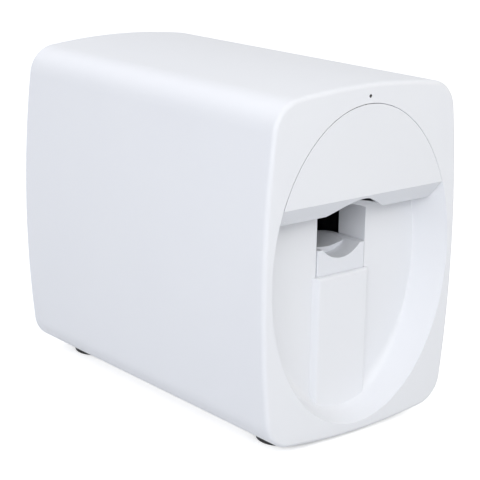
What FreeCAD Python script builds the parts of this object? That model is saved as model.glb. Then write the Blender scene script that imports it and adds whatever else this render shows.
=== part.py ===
"""Digital nail art printer: a one-finger inkjet machine in a crowned white casing.

The pieces are modelled in the casing's own frame: x across, y back from the front face,
z up from the lowest line of the belly. Every finished piece is then placed so that the
machine stands on its feet at z = 0 and is centred on x and y.
"""
import FreeCAD, Part
import math
import os
import re

import Sketcher
from FreeCAD import Placement, Rotation, Vector

DIMENSIONS = {
    # Casing: the long arcs of its section, its corners and its walls
    "body_width": 138.0,
    "body_height": 190.0,
    "body_depth": 223.0,
    "crown_radius": 390.0,
    "belly_radius": 389.0,
    "flank_radius": 631.0,
    "top_corner": 17.5,
    "bottom_corner": 17.2,
    "wall": 2.5,
    "panel_thickness": 3.0,
    "front_edge": 2.5,
    "rear_edge": 0.8,
    "spigot_depth": 4.0,
    "spigot_wall": 1.8,
    "foot_gap": 2.0,
    # Small gaps that come back all over the machine
    "slip": 0.05,
    "fit_gap": 0.1,
    "running_gap": 0.3,
    # Oval opening and the finger recess under the cover
    "recess_depth": 18.0,
    "side_draft": 8.7,
    "floor_draft": 5.4,
    "bowl_wall": 2.4,
    "bowl_top_blend": 0.8,
    "bowl_low_blend": 10.0,
    "blend_start": 97.0,
    "brow_half": 27.0,
    "brow_crown": 4.3,
    "brow_slope": 0.3,
    "slot_width": 35.2,
    "slot_crown": 3.7,
    "cheek_end": 38.5,
    "cheek_drop": 4.0,
    "pillar_width": 35.0,
    "pillar_root": 39.4,
    "pillar_proud": 3.5,
    "pillar_drop": 0.2,
    "pillar_foot": 9.5,
    "pillar_blend": 1.8,
    "ledge_width": 6.0,
    "ledge_thickness": 2.2,
    # Front cover
    "cover_gap": 0.35,
    "cover_thickness": 2.6,
    "cover_seat": 0.4,
    "lip_depth": 8.2,
    "lip_drop": 9.8,
    "notch_half_width": 20.0,
    "notch_drop": 11.0,
    "notch_flare": 3.1,
    "notch_overrun": 2.0,
    "cover_rib": 1.2,
    "cover_rib_half": 32.0,
    "magnet_radius": 2.0,
    "magnet_thickness": 1.2,
    "magnet_inset": 3.0,
    "magnet_angle": 40.0,
    # Status light
    "pipe_radius": 0.9,
    "pipe_length": 8.0,
    "pipe_collar": 1.6,
    # Finger rest and its lift
    "rest_gap": 0.5,
    "rest_proud": 0.6,
    "rest_corner": 9.0,
    "cradle_depth": 6.0,
    "cradle_cut": 17.6,
    "cradle_edge": 0.6,
    "apron_drop": 9.0,
    "bed_floor": 2.2,
    "plate_front": 29.2,
    "plate_end": 49.5,
    "plate_hollow": 42.0,
    "plate_tilt": 3.7,
    "bracket_width": 28.0,
    "bracket_sheet": 3.0,
    "bracket_web": 48.0,
    "lift_block_depth": 15.0,
    "lift_block_height": 10.0,
    "lift_axis": 56.0,
    "lift_rod_radius": 2.0,
    "lift_rod_spacing": 22.0,
    "lift_screw_radius": 2.5,
    "tower_width": 34.0,
    "tower_sheet": 2.5,
    "tower_plate": 3.0,
    "tower_low": 40.0,
    "tower_front": 49.0,
    "tower_back": 67.0,
    "motor_size": 20.0,
    "motor_corner": 3.0,
    "lift_motor_length": 24.0,
    # Feet and base plate
    "base_flange": 4.5,
    "base_flange_thickness": 2.0,
    "foot_radius": 13.0,
    "foot_front": 23.0,
    "foot_seat": 4.5,
    "foot_boss_wall": 2.5,
    "foot_boss_top": 7.0,
    "foot_round": 1.0,
    "deck_height": 10.0,
    "deck_boss": 4.5,
    "screw_radius": 1.5,
    "screw_head": 2.8,
    "screw_head_height": 2.0,
    "screw_grip": 5.0,
    "board_screw_length": 6.0,
    "lamp_screw_length": 4.2,
    "case_screw_length": 12.0,
    # Chassis
    "sheet": 1.5,
    "chassis_front": 62.0,
    "chassis_foot": 17.0,
    "deck_screw_front": 72.0,
    "ear_width": 13.0,
    "brace_front": 70.0,
    "brace_rear": 128.0,
    "brace_flange": 12.0,
    # Front-to-back travel
    "y_rod_radius": 3.0,
    "y_rod_overhang": 2.0,
    "bush_radius": 5.0,
    "bush_length": 16.0,
    "y_screw_radius": 3.0,
    "nut_radius": 5.0,
    "nut_length": 12.0,
    "y_motor_length": 26.0,
    "cheek_front": 135.0,
    "cheek_width": 12.0,
    "gantry_plate": 3.0,
    # Left-to-right travel
    "x_rod_radius": 2.5,
    "pulley_radius": 5.0,
    "pulley_flange": 6.8,
    "pulley_flange_thickness": 0.6,
    "belt_width": 4.0,
    "belt_thickness": 1.2,
    "jaw_thickness": 2.5,
    "jaw_half": 6.6,
    "axle_radius": 1.5,
    "x_motor_length": 20.0,
    # Print carriage, cartridge and latch
    "carriage_half": 20.0,
    "carriage_front": 82.0,
    "carriage_wall": 2.0,
    "carriage_block_half": 16.0,
    "cartridge_gap": 0.4,
    "cartridge_edge": 1.5,
    "snout_half": 8.0,
    "snout_length": 14.0,
    "snout_front": 86.0,
    "latch_half": 13.0,
    "latch_height": 23.0,
    "latch_thickness": 2.0,
    "latch_y": 79.2,
    "latch_barrel": 2.0,
    "latch_pin_radius": 1.0,
    "latch_ear": 3.0,
    "camera_width": 12.0,
    "camera_depth": 16.0,
    "camera_height": 20.0,
    "camera_front": 90.0,
    "lens_radius": 3.5,
    "lens_reach": 3.0,
    "lens_dish": 2.1,
    "lens_dish_depth": 1.0,
    # Service station under the parked nozzle
    "tray_half": 18.0,
    "tray_front": 71.0,
    "tray_rear": 126.0,
    "tray_height": 12.0,
    "tray_wall": 2.0,
    "tray_split": 103.0,
    "cap_half": 10.5,
    "cap_depth": 18.0,
    "cap_height": 6.0,
    "cap_lip": 1.8,
    "wiper_y": 74.4,
    "wiper_thickness": 1.2,
    "wiper_half": 10.0,
    "wiper_socket": 4.5,
    # Boards and what stands on them
    "board_thickness": 1.6,
    "board_front": 78.0,
    "chip_size": 12.0,
    "chip_rise": 1.2,
    "processor_size": 16.0,
    "processor_rise": 2.4,
    "can_radius": 3.6,
    "can_height": 9.0,
    "plug_width": 12.0,
    "plug_depth": 6.0,
    "plug_pitch": 18.0,
    "sink_size": 24.0,
    "sink_plate": 3.0,
    "sink_height": 11.0,
    "fin_thickness": 1.5,
    "board_height": 16.0,
    "board_post": 3.5,
    "board_post_inset": 5.0,
    "board_corner": 2.0,
    "io_board_low": 14.0,
    "io_board_height": 28.0,
    "port_height": 23.0,
    "jack_radius": 5.5,
    "jack_bore": 3.2,
    "jack_pin": 1.0,
    "jack_depth": 10.0,
    "jack_case_half": 6.0,
    "usb_x": -5.0,
    "usb_width": 9.0,
    "usb_thickness": 3.3,
    "usb_wall": 0.4,
    "usb_reach": 7.0,
    "usb_tongue": 0.7,
    "usb_tongue_half": 3.0,
    "button_radius": 6.0,
    "button_flange": 7.5,
    "button_flange_thickness": 1.8,
    "button_travel": 1.0,
    "button_stem": 2.0,
    "switch_size": 6.0,
    "switch_height": 5.0,
    "plunger_radius": 1.6,
    "lamp_size": 3.0,
    "lamp_rise": 0.9,
    "status_lamp": 2.0,
    "status_lamp_rise": 1.2,
    "lamp_half": 25.0,
    "lamp_y": 12.0,
    "lamp_depth": 9.0,
    # Fan and vents
    "fan_size": 40.0,
    "fan_depth": 10.0,
    "fan_bore": 18.8,
    "fan_rotor_radius": 18.2,
    "fan_hub": 9.0,
    "fan_spider": 1.5,
    "blade_thickness": 1.4,
    "blade_angle": 38.0,
    "fan_arm": 3.0,
    "vent_half": 18.5,
    "vent_height": 2.6,
    "vent_pitch": 5.0,
    # Rear corner screws
    "corner_boss": 3.6,
    "corner_boss_length": 10.0,
    "lamp_post": 3.0,
    # What places the oval, the slot and the finger rest from the casing's middle
    "flank_drop": 0.75,
    "oval_side_margin": 5.3,
    "oval_end_margin": 7.9,
    "oval_drop": 2.3,
    "lip_rise": 38.5,
    "notch_set": 1.7,
    "back_wall_drop": 11.1,
    "slot_side_drop": 12.3,
    "slot_drop": 6.7,
    "rest_rise": 14.2,
    "channel_depth": 6.2,
    "plate_drop": 2.8,
    "lift_block_drop": 38.2,
    "tower_drop": 8.2,
    # What keeps pieces under the crown and in front of the rear panel
    "pipe_drop": 6.4,
    "lamp_drop": 7.4,
    "fan_rise": 15.0,
    "io_board_inset": 19.0,
    "io_board_margin": 25.0,
    "port_inset": 16.0,
    # How far the base, the chassis and the boards stay inside the casing
    "base_margin": 18.0,
    "foot_inset": 15.5,
    "foot_rear_inset": 25.0,
    "chassis_margin": 13.0,
    "chassis_inset": 43.0,
    "chassis_drop": 22.0,
    "deck_screw_inset": 12.0,
    "deck_screw_margin": 14.0,
    "board_margin": 18.0,
    "board_inset": 51.0,
    # Where the rods, the pulleys and the gantry sit from each other
    "y_rod_inset": 6.5,
    "y_rod_drop": 32.0,
    "y_screw_drop": 20.0,
    "ear_margin": 8.0,
    "gantry_drop": 27.0,
    "gantry_rise": 18.0,
    "gantry_plate_rise": 6.0,
    "gantry_plate_set": 18.0,
    "x_rod_set": 6.0,
    "x_rod_drop": 11.0,
    "x_rod_rise": 13.0,
    "x_rod_grip": 4.5,
    "pulley_inset": 15.5,
    "pulley_rise": 1.0,
    "pulley_set": 4.8,
    # Where the carriage and all on it sit from the rods
    "carriage_drop": 27.0,
    "carriage_rise": 8.0,
    "block_front_reach": 7.0,
    "block_back_reach": 4.0,
    "block_rise": 6.0,
    "block_drop": 5.5,
    "sill_rise": 9.0,
    "cartridge_rise": 16.0,
    "latch_rise": 6.0,
    "camera_rise": 11.0,
    "nozzle_reach": 4.5,
    "service_room": 22.5,
}

# Sizes and places that follow from the ones above, each a formula of earlier names.
PLACES = {
    # Oval opening, its cover and the finger rest hang on the middle of the front
    "flank_middle": "body_height / 2 - flank_drop",
    "oval_half_width": "body_width / 2 - oval_side_margin",
    "oval_half_height": "body_height / 2 - oval_end_margin",
    "oval_middle": "body_height / 2 - oval_drop",
    "lip_height": "oval_middle + lip_rise",
    "notch_top": "lip_height - notch_set",
    "back_wall_top": "lip_height - back_wall_drop",
    "slot_side_top": "lip_height - slot_side_drop",
    "slot_bottom": "oval_middle - slot_drop",
    "rest_height": "slot_bottom + rest_rise",
    "cradle_cut_low": "rest_height - channel_depth",
    "plate_top": "rest_height - plate_drop",
    "bed_low": "cradle_cut_low - bed_floor",
    "rest_front": "recess_depth - rest_proud",
    "lift_block_low": "rest_height - lift_block_drop",
    "tower_high": "rest_height - tower_drop",
    # Pieces that stay under the crown, or a set way in from the rear panel
    "pipe_height": "body_height - pipe_drop",
    "lamp_z": "body_height - lamp_drop",
    "fan_z": "body_height / 2 + fan_rise",
    "io_board_y": "body_depth - io_board_inset",
    "io_board_half": "body_width / 2 - io_board_margin",
    "jack_x": "port_inset - io_board_half",
    "button_x": "io_board_half - port_inset",
    # Base plate, feet and chassis follow the casing's width and depth
    "base_half_width": "body_width / 2 - base_margin",
    "foot_x": "base_half_width - foot_inset",
    "foot_rear": "body_depth - foot_rear_inset",
    "chassis_x": "body_width / 2 - chassis_margin",
    "chassis_rear": "body_depth - chassis_inset",
    "chassis_top": "body_height - chassis_drop",
    "deck_screw_x": "chassis_x - deck_screw_inset",
    "deck_screw_rear": "chassis_rear - deck_screw_margin",
    "board_half": "chassis_x - board_margin",
    "board_rear": "body_depth - board_inset",
    # Rods and gantry are placed from the long rods, and these from the chassis
    "y_rod_x": "chassis_x - y_rod_inset",
    "y_rod_z": "body_height - y_rod_drop",
    "y_screw_z": "y_rod_z - y_screw_drop",
    "ear_low": "y_screw_z - ear_margin",
    "cheek_low": "y_rod_z - gantry_drop",
    "cheek_high": "y_rod_z + gantry_rise",
    "gantry_plate_low": "cheek_low + gantry_plate_rise",
    "gantry_plate_front": "cheek_front + gantry_plate_set",
    "x_rod_y": "cheek_front + x_rod_set",
    "x_rod_low": "y_rod_z - x_rod_drop",
    "x_rod_high": "y_rod_z + x_rod_rise",
    "x_rod_half": "y_rod_x + x_rod_grip",
    "pulley_x": "y_rod_x - pulley_inset",
    "pulley_z": "y_rod_z + pulley_rise",
    "pulley_front": "x_rod_y + pulley_set",
    # Carriage and all that it carries are placed from the rods
    "carriage_low": "y_rod_z - carriage_drop",
    "carriage_side": "y_rod_z + carriage_rise",
    "carriage_block_front": "x_rod_y - block_front_reach",
    "carriage_block_back": "x_rod_y + block_back_reach",
    "carriage_block_high": "x_rod_high + block_rise",
    "carriage_block_low": "x_rod_low - block_drop",
    "front_sill": "carriage_low + sill_rise",
    "cartridge_top": "y_rod_z + cartridge_rise",
    "latch_z": "carriage_low + latch_rise",
    "camera_low": "carriage_low + camera_rise",
    "nozzle_height": "carriage_low - nozzle_reach",
    "brace_height": "nozzle_height - service_room",
}

BLADES = 7
VENT_ROWS = 7
LAMPS = 5
FINS = 6
COVER_RIBS = 2
NOTCH_STEPS = 12

UP = (0, 0, 1)
DOWN = (0, 0, -1)
BACK = (0, 1, 0)
FORWARD = (0, -1, 0)

doc = FreeCAD.newDocument("nail_printer")
sheet = doc.addObject("Spreadsheet::Sheet", "Sheet")
cells = {alias: str(number) for alias, number in DIMENSIONS.items()}
cells.update({alias: f"={formula}" for alias, formula in PLACES.items()})
for line, (alias, content) in enumerate(cells.items(), start=1):
    sheet.set(f"A{line}", alias)
    sheet.set(f"B{line}", content)
    sheet.setAlias(f"B{line}", alias)
doc.recompute()

NAMES = re.compile(r"\b(" + "|".join(sorted(cells, key=len, reverse=True)) + r")\b")
pieces = []


class Sizes:
    """The sheet's numbers by name, for the shapes that are worked out in code."""

    def __getattr__(self, alias):
        return float(sheet.get(alias))


size = Sizes()


# ---------------------------------------------------------------- helpers
# A solid that cuts runs at least 1 mm past the faces that it cuts.


def bind(obj, prop, formula):
    """Tie a property to a formula of the sheet's names."""
    obj.setExpression(prop, NAMES.sub(r"Sheet.\1", str(formula)))


def put(obj, corner):
    """Tie an object's place to three formulas."""
    for axis, formula in zip("xyz", corner):
        bind(obj, f"Placement.Base.{axis}", formula)


def box(name, low, extent):
    """A block from its low corner and its three extents."""
    block = doc.addObject("Part::Box", name)
    for prop, formula in zip(("Length", "Width", "Height"), extent):
        bind(block, prop, formula)
    put(block, low)
    return block


def wide_box(name, half, y_low, depth, z_low, height):
    """A block centred on x = 0."""
    return box(name, (f"-({half})", y_low, z_low), (f"2 * ({half})", depth, height))


AXIS_TURN = {
    "x": Rotation(Vector(0, 1, 0), 90),
    "y": Rotation(Vector(1, 0, 0), -90),
    "z": Rotation(),
}


def cylinder(name, axis, centre, radius, length):
    """A round bar that starts at its centre point and runs along +x, +y or +z."""
    bar = doc.addObject("Part::Cylinder", name)
    bar.Placement = Placement(Vector(), AXIS_TURN[axis])
    bind(bar, "Radius", radius)
    bind(bar, "Height", length)
    put(bar, centre)
    return bar


def fuse(name, *shapes):
    """One solid, or one group, from several shapes."""
    joined = doc.addObject("Part::MultiFuse", name)
    joined.Shapes = list(shapes)
    joined.Refine = True
    return joined


def cut(name, base, *tools):
    """The base with the tools taken away."""
    result = doc.addObject("Part::Cut", name)
    result.Base = base
    result.Tool = tools[0] if len(tools) == 1 else fuse(f"{name}_tools", *tools)
    result.Refine = True
    return result


def common(name, first, second):
    """What two shapes share."""
    result = doc.addObject("Part::Common", name)
    result.Base = first
    result.Tool = second
    return result


def shaped(name, shape):
    """A shape that is worked out in code from the sheet's numbers."""
    feature = doc.addObject("Part::Feature", name)
    feature.Shape = shape
    return feature


def finish(label, obj):
    """Name a finished piece, and seat it in the machine's frame."""
    obj.Label = label
    own = {path.lstrip("."): formula for path, formula in obj.ExpressionEngine}
    seats = {
        "Placement.Base.y": "-Sheet.body_depth / 2",
        "Placement.Base.z": "Sheet.foot_gap",
    }
    for path, seat in seats.items():
        obj.setExpression(path, f"{own[path]} + {seat}" if path in own else seat)
    pieces.append(obj)
    return obj


def new_body(name):
    return doc.addObject("PartDesign::Body", name)


def plan(body, name, plane, centre):
    """A sketch on one of the body's planes, with its origin at three formulas."""
    x, y, z = centre
    offsets = {"XY_Plane": (x, y, z), "XZ_Plane": (x, z, f"-({y})"), "YZ_Plane": (y, z, x)}
    sketch = body.newObject("Sketcher::SketchObject", name)
    origin_plane = next(f for f in body.Origin.OriginFeatures if f.Role == plane)
    sketch.AttachmentSupport = (origin_plane, [""])
    sketch.MapMode = "FlatFace"
    for axis, formula in zip("xyz", offsets[plane]):
        bind(sketch, f"AttachmentOffset.Base.{axis}", formula)
    return sketch


def measure(sketch, kind, formula, *where):
    """A dimension of a sketch that follows a formula."""
    index = sketch.addConstraint(Sketcher.Constraint(kind, *where))
    bind(sketch, f"Constraints[{index}]", formula)


def rectangle(sketch, width, height):
    """A rectangle about the sketch's origin."""
    first = sketch.GeometryCount
    half_w, half_h = 10.0, 5.0
    corners = [(-half_w, -half_h), (half_w, -half_h), (half_w, half_h), (-half_w, half_h)]
    points = [Vector(x, y, 0) for x, y in corners]
    for side in range(4):
        sketch.addGeometry(Part.LineSegment(points[side], points[(side + 1) % 4]), False)
    for side in range(4):
        joint = (first + side, 2, first + (side + 1) % 4, 1)
        sketch.addConstraint(Sketcher.Constraint("Coincident", *joint))
    for side in (0, 2):
        sketch.addConstraint(Sketcher.Constraint("Horizontal", first + side))
        sketch.addConstraint(Sketcher.Constraint("Vertical", first + side + 1))
    sketch.addConstraint(Sketcher.Constraint("Symmetric", first, 1, first + 1, 2, -1, 1))
    measure(sketch, "DistanceX", width, first, 1, first, 2, 2 * half_w)
    measure(sketch, "DistanceY", height, first + 1, 1, first + 1, 2, 2 * half_h)


def circle(sketch, radius, across="0", up="0", signs=(1, 1)):
    """A circle; across and up are its distances from the sketch's origin, towards signs."""
    start = Vector(7.0 * signs[0] * (across != "0"), 6.0 * signs[1] * (up != "0"), 0)
    ring = sketch.addGeometry(Part.Circle(start, Vector(0, 0, 1), 2.0), False)
    if across == "0" and up == "0":
        sketch.addConstraint(Sketcher.Constraint("Coincident", ring, 3, -1, 1))
    else:
        for kind, formula, sign in (("DistanceX", across, signs[0]), ("DistanceY", up, signs[1])):
            ends = (-1, 1, ring, 3) if sign > 0 else (ring, 3, -1, 1)
            if formula == "0":
                ends = (-1, 1, ring, 3)
                sketch.addConstraint(Sketcher.Constraint(kind, *ends, 0.0))
            else:
                measure(sketch, kind, formula, *ends, 6.0)
    measure(sketch, "Radius", radius, ring, 2.0)


def pad(body, sketch, length):
    """Push a sketch out along +x, +y or +z."""
    block = body.newObject("PartDesign::Pad", f"{sketch.Name}_pad")
    block.Profile = sketch
    block.Reversed = "XZ_Plane" in sketch.AttachmentSupport[0][0].Role
    bind(block, "Length", length)
    return block


def pocket_through(body, sketch):
    """Cut a sketch right through the body, both ways."""
    hole = body.newObject("PartDesign::Pocket", f"{sketch.Name}_cut")
    hole.Profile = sketch
    hole.Type = "ThroughAll"
    hole.Midplane = True
    return hole


def chamfer_along(body, feature, direction, chamfer_size):
    """Bevel the long edges of a block that run along one direction."""
    doc.recompute()
    names = []
    for number, edge in enumerate(feature.Shape.Edges, start=1):
        if len(edge.Vertexes) == 2:
            run = edge.Vertexes[1].Point - edge.Vertexes[0].Point
            if abs(abs(run.normalize().dot(direction)) - 1) < 1e-6:
                names.append(f"Edge{number}")
    bevel = body.newObject("PartDesign::Chamfer", f"{feature.Name}_bevel")
    bevel.Base = (feature, names)
    bind(bevel, "Size", chamfer_size)
    return bevel


# ---------------------------------------------------------------- casing sections


def meeting(first, second, radius):
    """Centre of the corner arc that rolls inside two big arcs, on the right-hand side."""
    (x1, z1, r1), (x2, z2, r2) = first, second
    near, far = r1 - radius, r2 - radius
    gap = math.hypot(x2 - x1, z2 - z1)
    along = (near ** 2 - far ** 2 + gap ** 2) / (2 * gap)
    aside = math.sqrt(near ** 2 - along ** 2)
    unit_x, unit_z = (x2 - x1) / gap, (z2 - z1) / gap
    options = [
        (x1 + along * unit_x - side * aside * unit_z, z1 + along * unit_z + side * aside * unit_x)
        for side in (1, -1)
    ]
    return max(options)


def touch(arc, centre):
    """The point where the corner about centre touches a big arc."""
    x, z, radius = arc
    gap = math.hypot(centre[0] - x, centre[1] - z)
    return (x + (centre[0] - x) * radius / gap, z + (centre[1] - z) * radius / gap)


def section_arcs(inset):
    """The big arcs of the right half of the casing's section, drawn in by inset."""
    crown = (0.0, size.body_height - size.crown_radius, size.crown_radius - inset)
    flank = (size.body_width / 2 - size.flank_radius, size.flank_middle, size.flank_radius - inset)
    belly = (0.0, size.belly_radius, size.belly_radius - inset)
    return crown, flank, belly


def corner_centres():
    """Centres of the upper and lower right corner arcs, the same at every inset."""
    crown, flank, belly = section_arcs(0.0)
    return meeting(crown, flank, size.top_corner), meeting(belly, flank, size.bottom_corner)


def outline(inset):
    """Closed section of the casing in the plane y = 0, drawn in by inset."""
    crown, flank, belly = section_arcs(inset)
    upper, lower = corner_centres()
    ends = [touch(crown, upper), touch(flank, upper), touch(flank, lower), touch(belly, lower)]

    def bend(centre, radius, start, end):
        """Middle of a corner arc."""
        x = (start[0] + end[0]) / 2 - centre[0]
        z = (start[1] + end[1]) / 2 - centre[1]
        scale = radius / math.hypot(x, z)
        return (centre[0] + x * scale, centre[1] + z * scale)

    flank_point = (flank[0] + flank[2], flank[1])
    right = [
        (ends[0], bend(upper, size.top_corner - inset, ends[0], ends[1]), ends[1]),
        (ends[1], flank_point, ends[2]),
        (ends[2], bend(lower, size.bottom_corner - inset, ends[2], ends[3]), ends[3]),
    ]
    left = [tuple((-x, z) for x, z in reversed(arc)) for arc in reversed(right)]
    floor = (ends[3], (0.0, inset), (-ends[3][0], ends[3][1]))
    roof = ((-ends[0][0], ends[0][1]), (0.0, size.body_height - inset), ends[0])
    arcs = []
    for arc in right + [floor] + left + [roof]:
        arcs.append(Part.Arc(*[Vector(x, 0, z) for x, z in arc]).toShape())
    return Part.Wire(arcs)


def prism(inset, start, end):
    """The casing's section, drawn in by inset, from one depth to another."""
    solid = Part.Face(outline(inset)).extrude(Vector(0, end - start, 0))
    solid.translate(Vector(0, start, 0))
    return solid


def sleeve(outer, inner, start, end):
    """A ring between two insets."""
    return prism(outer, start, end).cut(prism(inner, start, end))


def slab(x_low, x_high, y_low, y_high, z_low, z_high):
    """A plain block from its six planes."""
    corner = Vector(x_low, y_low, z_low)
    return Part.makeBox(x_high - x_low, y_high - y_low, z_high - z_low, corner)


def above(level):
    """All the room over a level."""
    wide, deep = size.body_width, size.body_depth
    return slab(-wide, wide, -deep, 2 * deep, level, level + 2 * size.body_height)


def below(level):
    """All the room under a level."""
    wide, deep = size.body_width, size.body_depth
    return slab(-wide, wide, -deep, 2 * deep, level - 2 * size.body_height, level)


def bar(radius, length, centre, direction):
    """A round bar."""
    return Part.makeCylinder(radius, length, Vector(*centre), Vector(*direction))


def polygon(points, run):
    """A prism on a closed line of points."""
    return Part.Face(Part.makePolygon([Vector(*p) for p in points + points[:1]])).extrude(run)


def edges_in_plane(shape, depth):
    """Edges that lie in the plane y = depth."""
    found = []
    for edge in shape.Edges:
        bounds = edge.BoundBox
        if abs(bounds.YMin - depth) < 1e-4 and abs(bounds.YMax - depth) < 1e-4:
            found.append(edge)
    return found


def oval(grow, depth):
    """The oval opening's outline at a depth: it narrows towards the back of the recess.

    It comes in three arcs: one over the top and two that meet at the lowest point.
    """
    share = depth / size.recess_depth
    half_w = size.oval_half_width + grow - size.side_draft * share
    half_h = size.oval_half_height + grow - size.floor_draft * share
    centre = Vector(0, depth, size.oval_middle)
    curve = Part.Ellipse(centre + Vector(0, 0, half_h), centre + Vector(half_w, 0, 0), centre)
    turn = math.radians(size.blend_start)
    stops = (-turn, turn, math.pi, 2 * math.pi - turn)
    return Part.Wire([curve.toShape(*pair) for pair in zip(stops, stops[1:])])


def oval_funnel(grow, start, end):
    """The drafted oval solid between two depths."""
    return Part.makeLoft([oval(grow, start), oval(grow, end)], True, True)


def recess_hollow():
    """The finger recess as a solid: crisp at its sides, softly blended at its floor."""
    hollow = shaped("recess_funnel", oval_funnel(0.0, -1.0, size.recess_depth))
    blends = []
    crisp, soft = size.bowl_top_blend, size.bowl_low_blend
    for number, edge in enumerate(hollow.Shape.Edges, start=1):
        if edge.BoundBox.YMin < size.recess_depth - 1e-4:
            continue
        drop = edge.valueAt(edge.FirstParameter).z - edge.valueAt(edge.LastParameter).z
        if abs(drop) < 1:
            blends.append((number, crisp, crisp))
        else:
            blends.append((number, crisp, soft) if drop > 0 else (number, soft, crisp))
    blended = doc.addObject("Part::Fillet", "recess_blend")
    blended.Base = hollow
    blended.Edges = blends
    doc.recompute()
    return blended.Shape.copy()


# ---------------------------------------------------------------- casing pieces


def rear_boss_places():
    """Centres (x, z) of the four rear screw bosses, tucked into the casing's corners."""
    upper, lower = corner_centres()
    places = []
    for centre, radius, rise in ((upper, size.top_corner, 1), (lower, size.bottom_corner, -1)):
        reach = (radius - size.wall - size.corner_boss + size.running_gap) / math.sqrt(2)
        for side in (1, -1):
            places.append((side * (centre[0] + reach), centre[1] + rise * reach))
    return places


def lamp_post_place(side):
    """Lower end of one of the two posts that carry the lamp board."""
    x = side * (size.lamp_half - size.lamp_post)
    return x, size.lamp_y + size.lamp_depth / 2, size.lamp_z + size.board_thickness


def housing_shell():
    start = size.panel_thickness
    end = size.body_depth - size.panel_thickness
    shell = sleeve(0.0, size.wall, start, end)
    half = size.base_half_width
    shell = shell.cut(slab(-half, half, start - 1, end + 1, -1, size.deck_height))
    seat = end - size.spigot_depth
    bosses = []
    for x, z in rear_boss_places():
        boss = bar(size.corner_boss, size.corner_boss_length,
                   (x, seat - size.corner_boss_length, z), BACK)
        bosses.append(boss.common(prism(size.wall / 2, start, end)))
    for side in (-1, 1):
        x, y, z = lamp_post_place(side)
        post = bar(size.lamp_post, size.body_height - z, (x, y, z), UP)
        post = post.cut(bar(size.screw_radius, size.lamp_screw_length, (x, y, z - 1), UP))
        bosses.append(post.common(prism(size.wall / 2, start, end)))
    shell = shell.fuse(bosses)
    for x, z in rear_boss_places():
        shell = shell.cut(bar(size.screw_radius, size.corner_boss_length,
                              (x, seat - size.corner_boss_length + 1, z), BACK))
    return finish("housing_shell", shaped("housing_shape", shell))


def foot_places():
    """Label, x and y formulas of the four feet."""
    for end, y in (("front", "foot_front"), ("rear", "foot_rear")):
        for side, x in (("left", "-foot_x"), ("right", "foot_x")):
            yield f"foot_{end}_{side}", x, y


def deck_places():
    """Side and y value of the four chassis screws."""
    for side in (-1, 1):
        for y in (size.deck_screw_front, size.deck_screw_rear):
            yield side, y


def board_post_places():
    """x and y values of the four main board posts."""
    inset = size.board_post_inset
    for side in (-1, 1):
        for y in (size.board_front + inset, size.board_rear - inset):
            yield side * (size.board_half - inset), y


def base_flange(half, start, end):
    """Two strips inside the base that overlap the housing's edges, a fit gap above them."""
    lap = size.wall + size.fit_gap
    outer = half + size.base_flange
    strip = sleeve(size.wall, lap + size.base_flange_thickness, start, end)
    strip = strip.common(slab(-outer, outer, start, end, -1, size.deck_height))
    gap = sleeve(size.wall, lap, start, end)
    for side in (-1, 1):
        low, high = sorted((side * half, side * (outer + 1)))
        strip = strip.cut(gap.common(slab(low, high, start, end, -1, size.deck_height)))
    inner = half - size.base_flange
    return strip.cut(slab(-inner, inner, start, end, -1, size.deck_height))


def base_plate():
    """The belly between the housing's lower edges, with seats for all that stands on it."""
    start = size.panel_thickness
    end = size.body_depth - size.panel_thickness
    half = size.base_half_width - size.fit_gap
    plate = sleeve(0.0, size.wall, start, end)
    plate = plate.common(slab(-half, half, start, end, -1, size.deck_height))
    flange_start = start + size.spigot_depth + size.running_gap
    flange_end = end - size.spigot_depth - size.corner_boss_length - size.running_gap

    seats = []
    holes = []
    for side in (-1, 1):
        for y in (size.foot_front, size.foot_rear):
            foot = (side * size.foot_x, y, 0)
            seats.append(bar(size.foot_radius + size.foot_boss_wall, size.foot_boss_top, foot, UP))
            holes.append(bar(size.foot_radius + size.fit_gap, size.foot_seat, foot, UP))
    for side, y in deck_places():
        boss = (side * size.deck_screw_x, y, 0)
        seats.append(bar(size.deck_boss, size.deck_height, boss, UP))
        holes.append(bar(size.screw_radius + size.slip, size.deck_height + 1, boss, UP))
        holes.append(bar(size.screw_head + size.fit_gap, size.deck_height - size.screw_grip, boss, UP))
    for x, y in board_post_places():
        seats.append(bar(size.board_post, size.board_height, (x, y, 0), UP))
        low = size.board_height - size.board_screw_length
        holes.append(bar(size.screw_radius, size.board_screw_length + 1, (x, y, low), UP))
    edge = size.tower_width / 2
    for low in (-edge, edge - size.deck_boss):
        seats.append(slab(low, low + size.deck_boss, size.tower_front, size.tower_back,
                          0, size.deck_height))
    room = prism(size.wall / 2, start, end).common(slab(-half, half, start, end, 0, size.body_height))
    seats = [seat.common(room) for seat in seats]
    plate = plate.fuse([base_flange(half, flange_start, flange_end)] + seats)
    return finish("base_plate", shaped("base_shape", plate.cut(holes)))


def feet():
    for label, x, y in foot_places():
        foot = new_body(label + "_body")
        sketch = plan(foot, label + "_ring", "XY_Plane", (x, y, "-foot_gap"))
        circle(sketch, "foot_radius")
        block = pad(foot, sketch, "foot_seat + foot_gap")
        doc.recompute()
        rim = [f"Edge{number}" for number, edge in enumerate(block.Shape.Edges, start=1)
               if edge.BoundBox.ZMax < -size.foot_gap + 1e-3]
        round_edge = foot.newObject("PartDesign::Fillet", label + "_round")
        round_edge.Base = (block, rim)
        bind(round_edge, "Radius", "foot_round")
        finish(label, foot)


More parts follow.
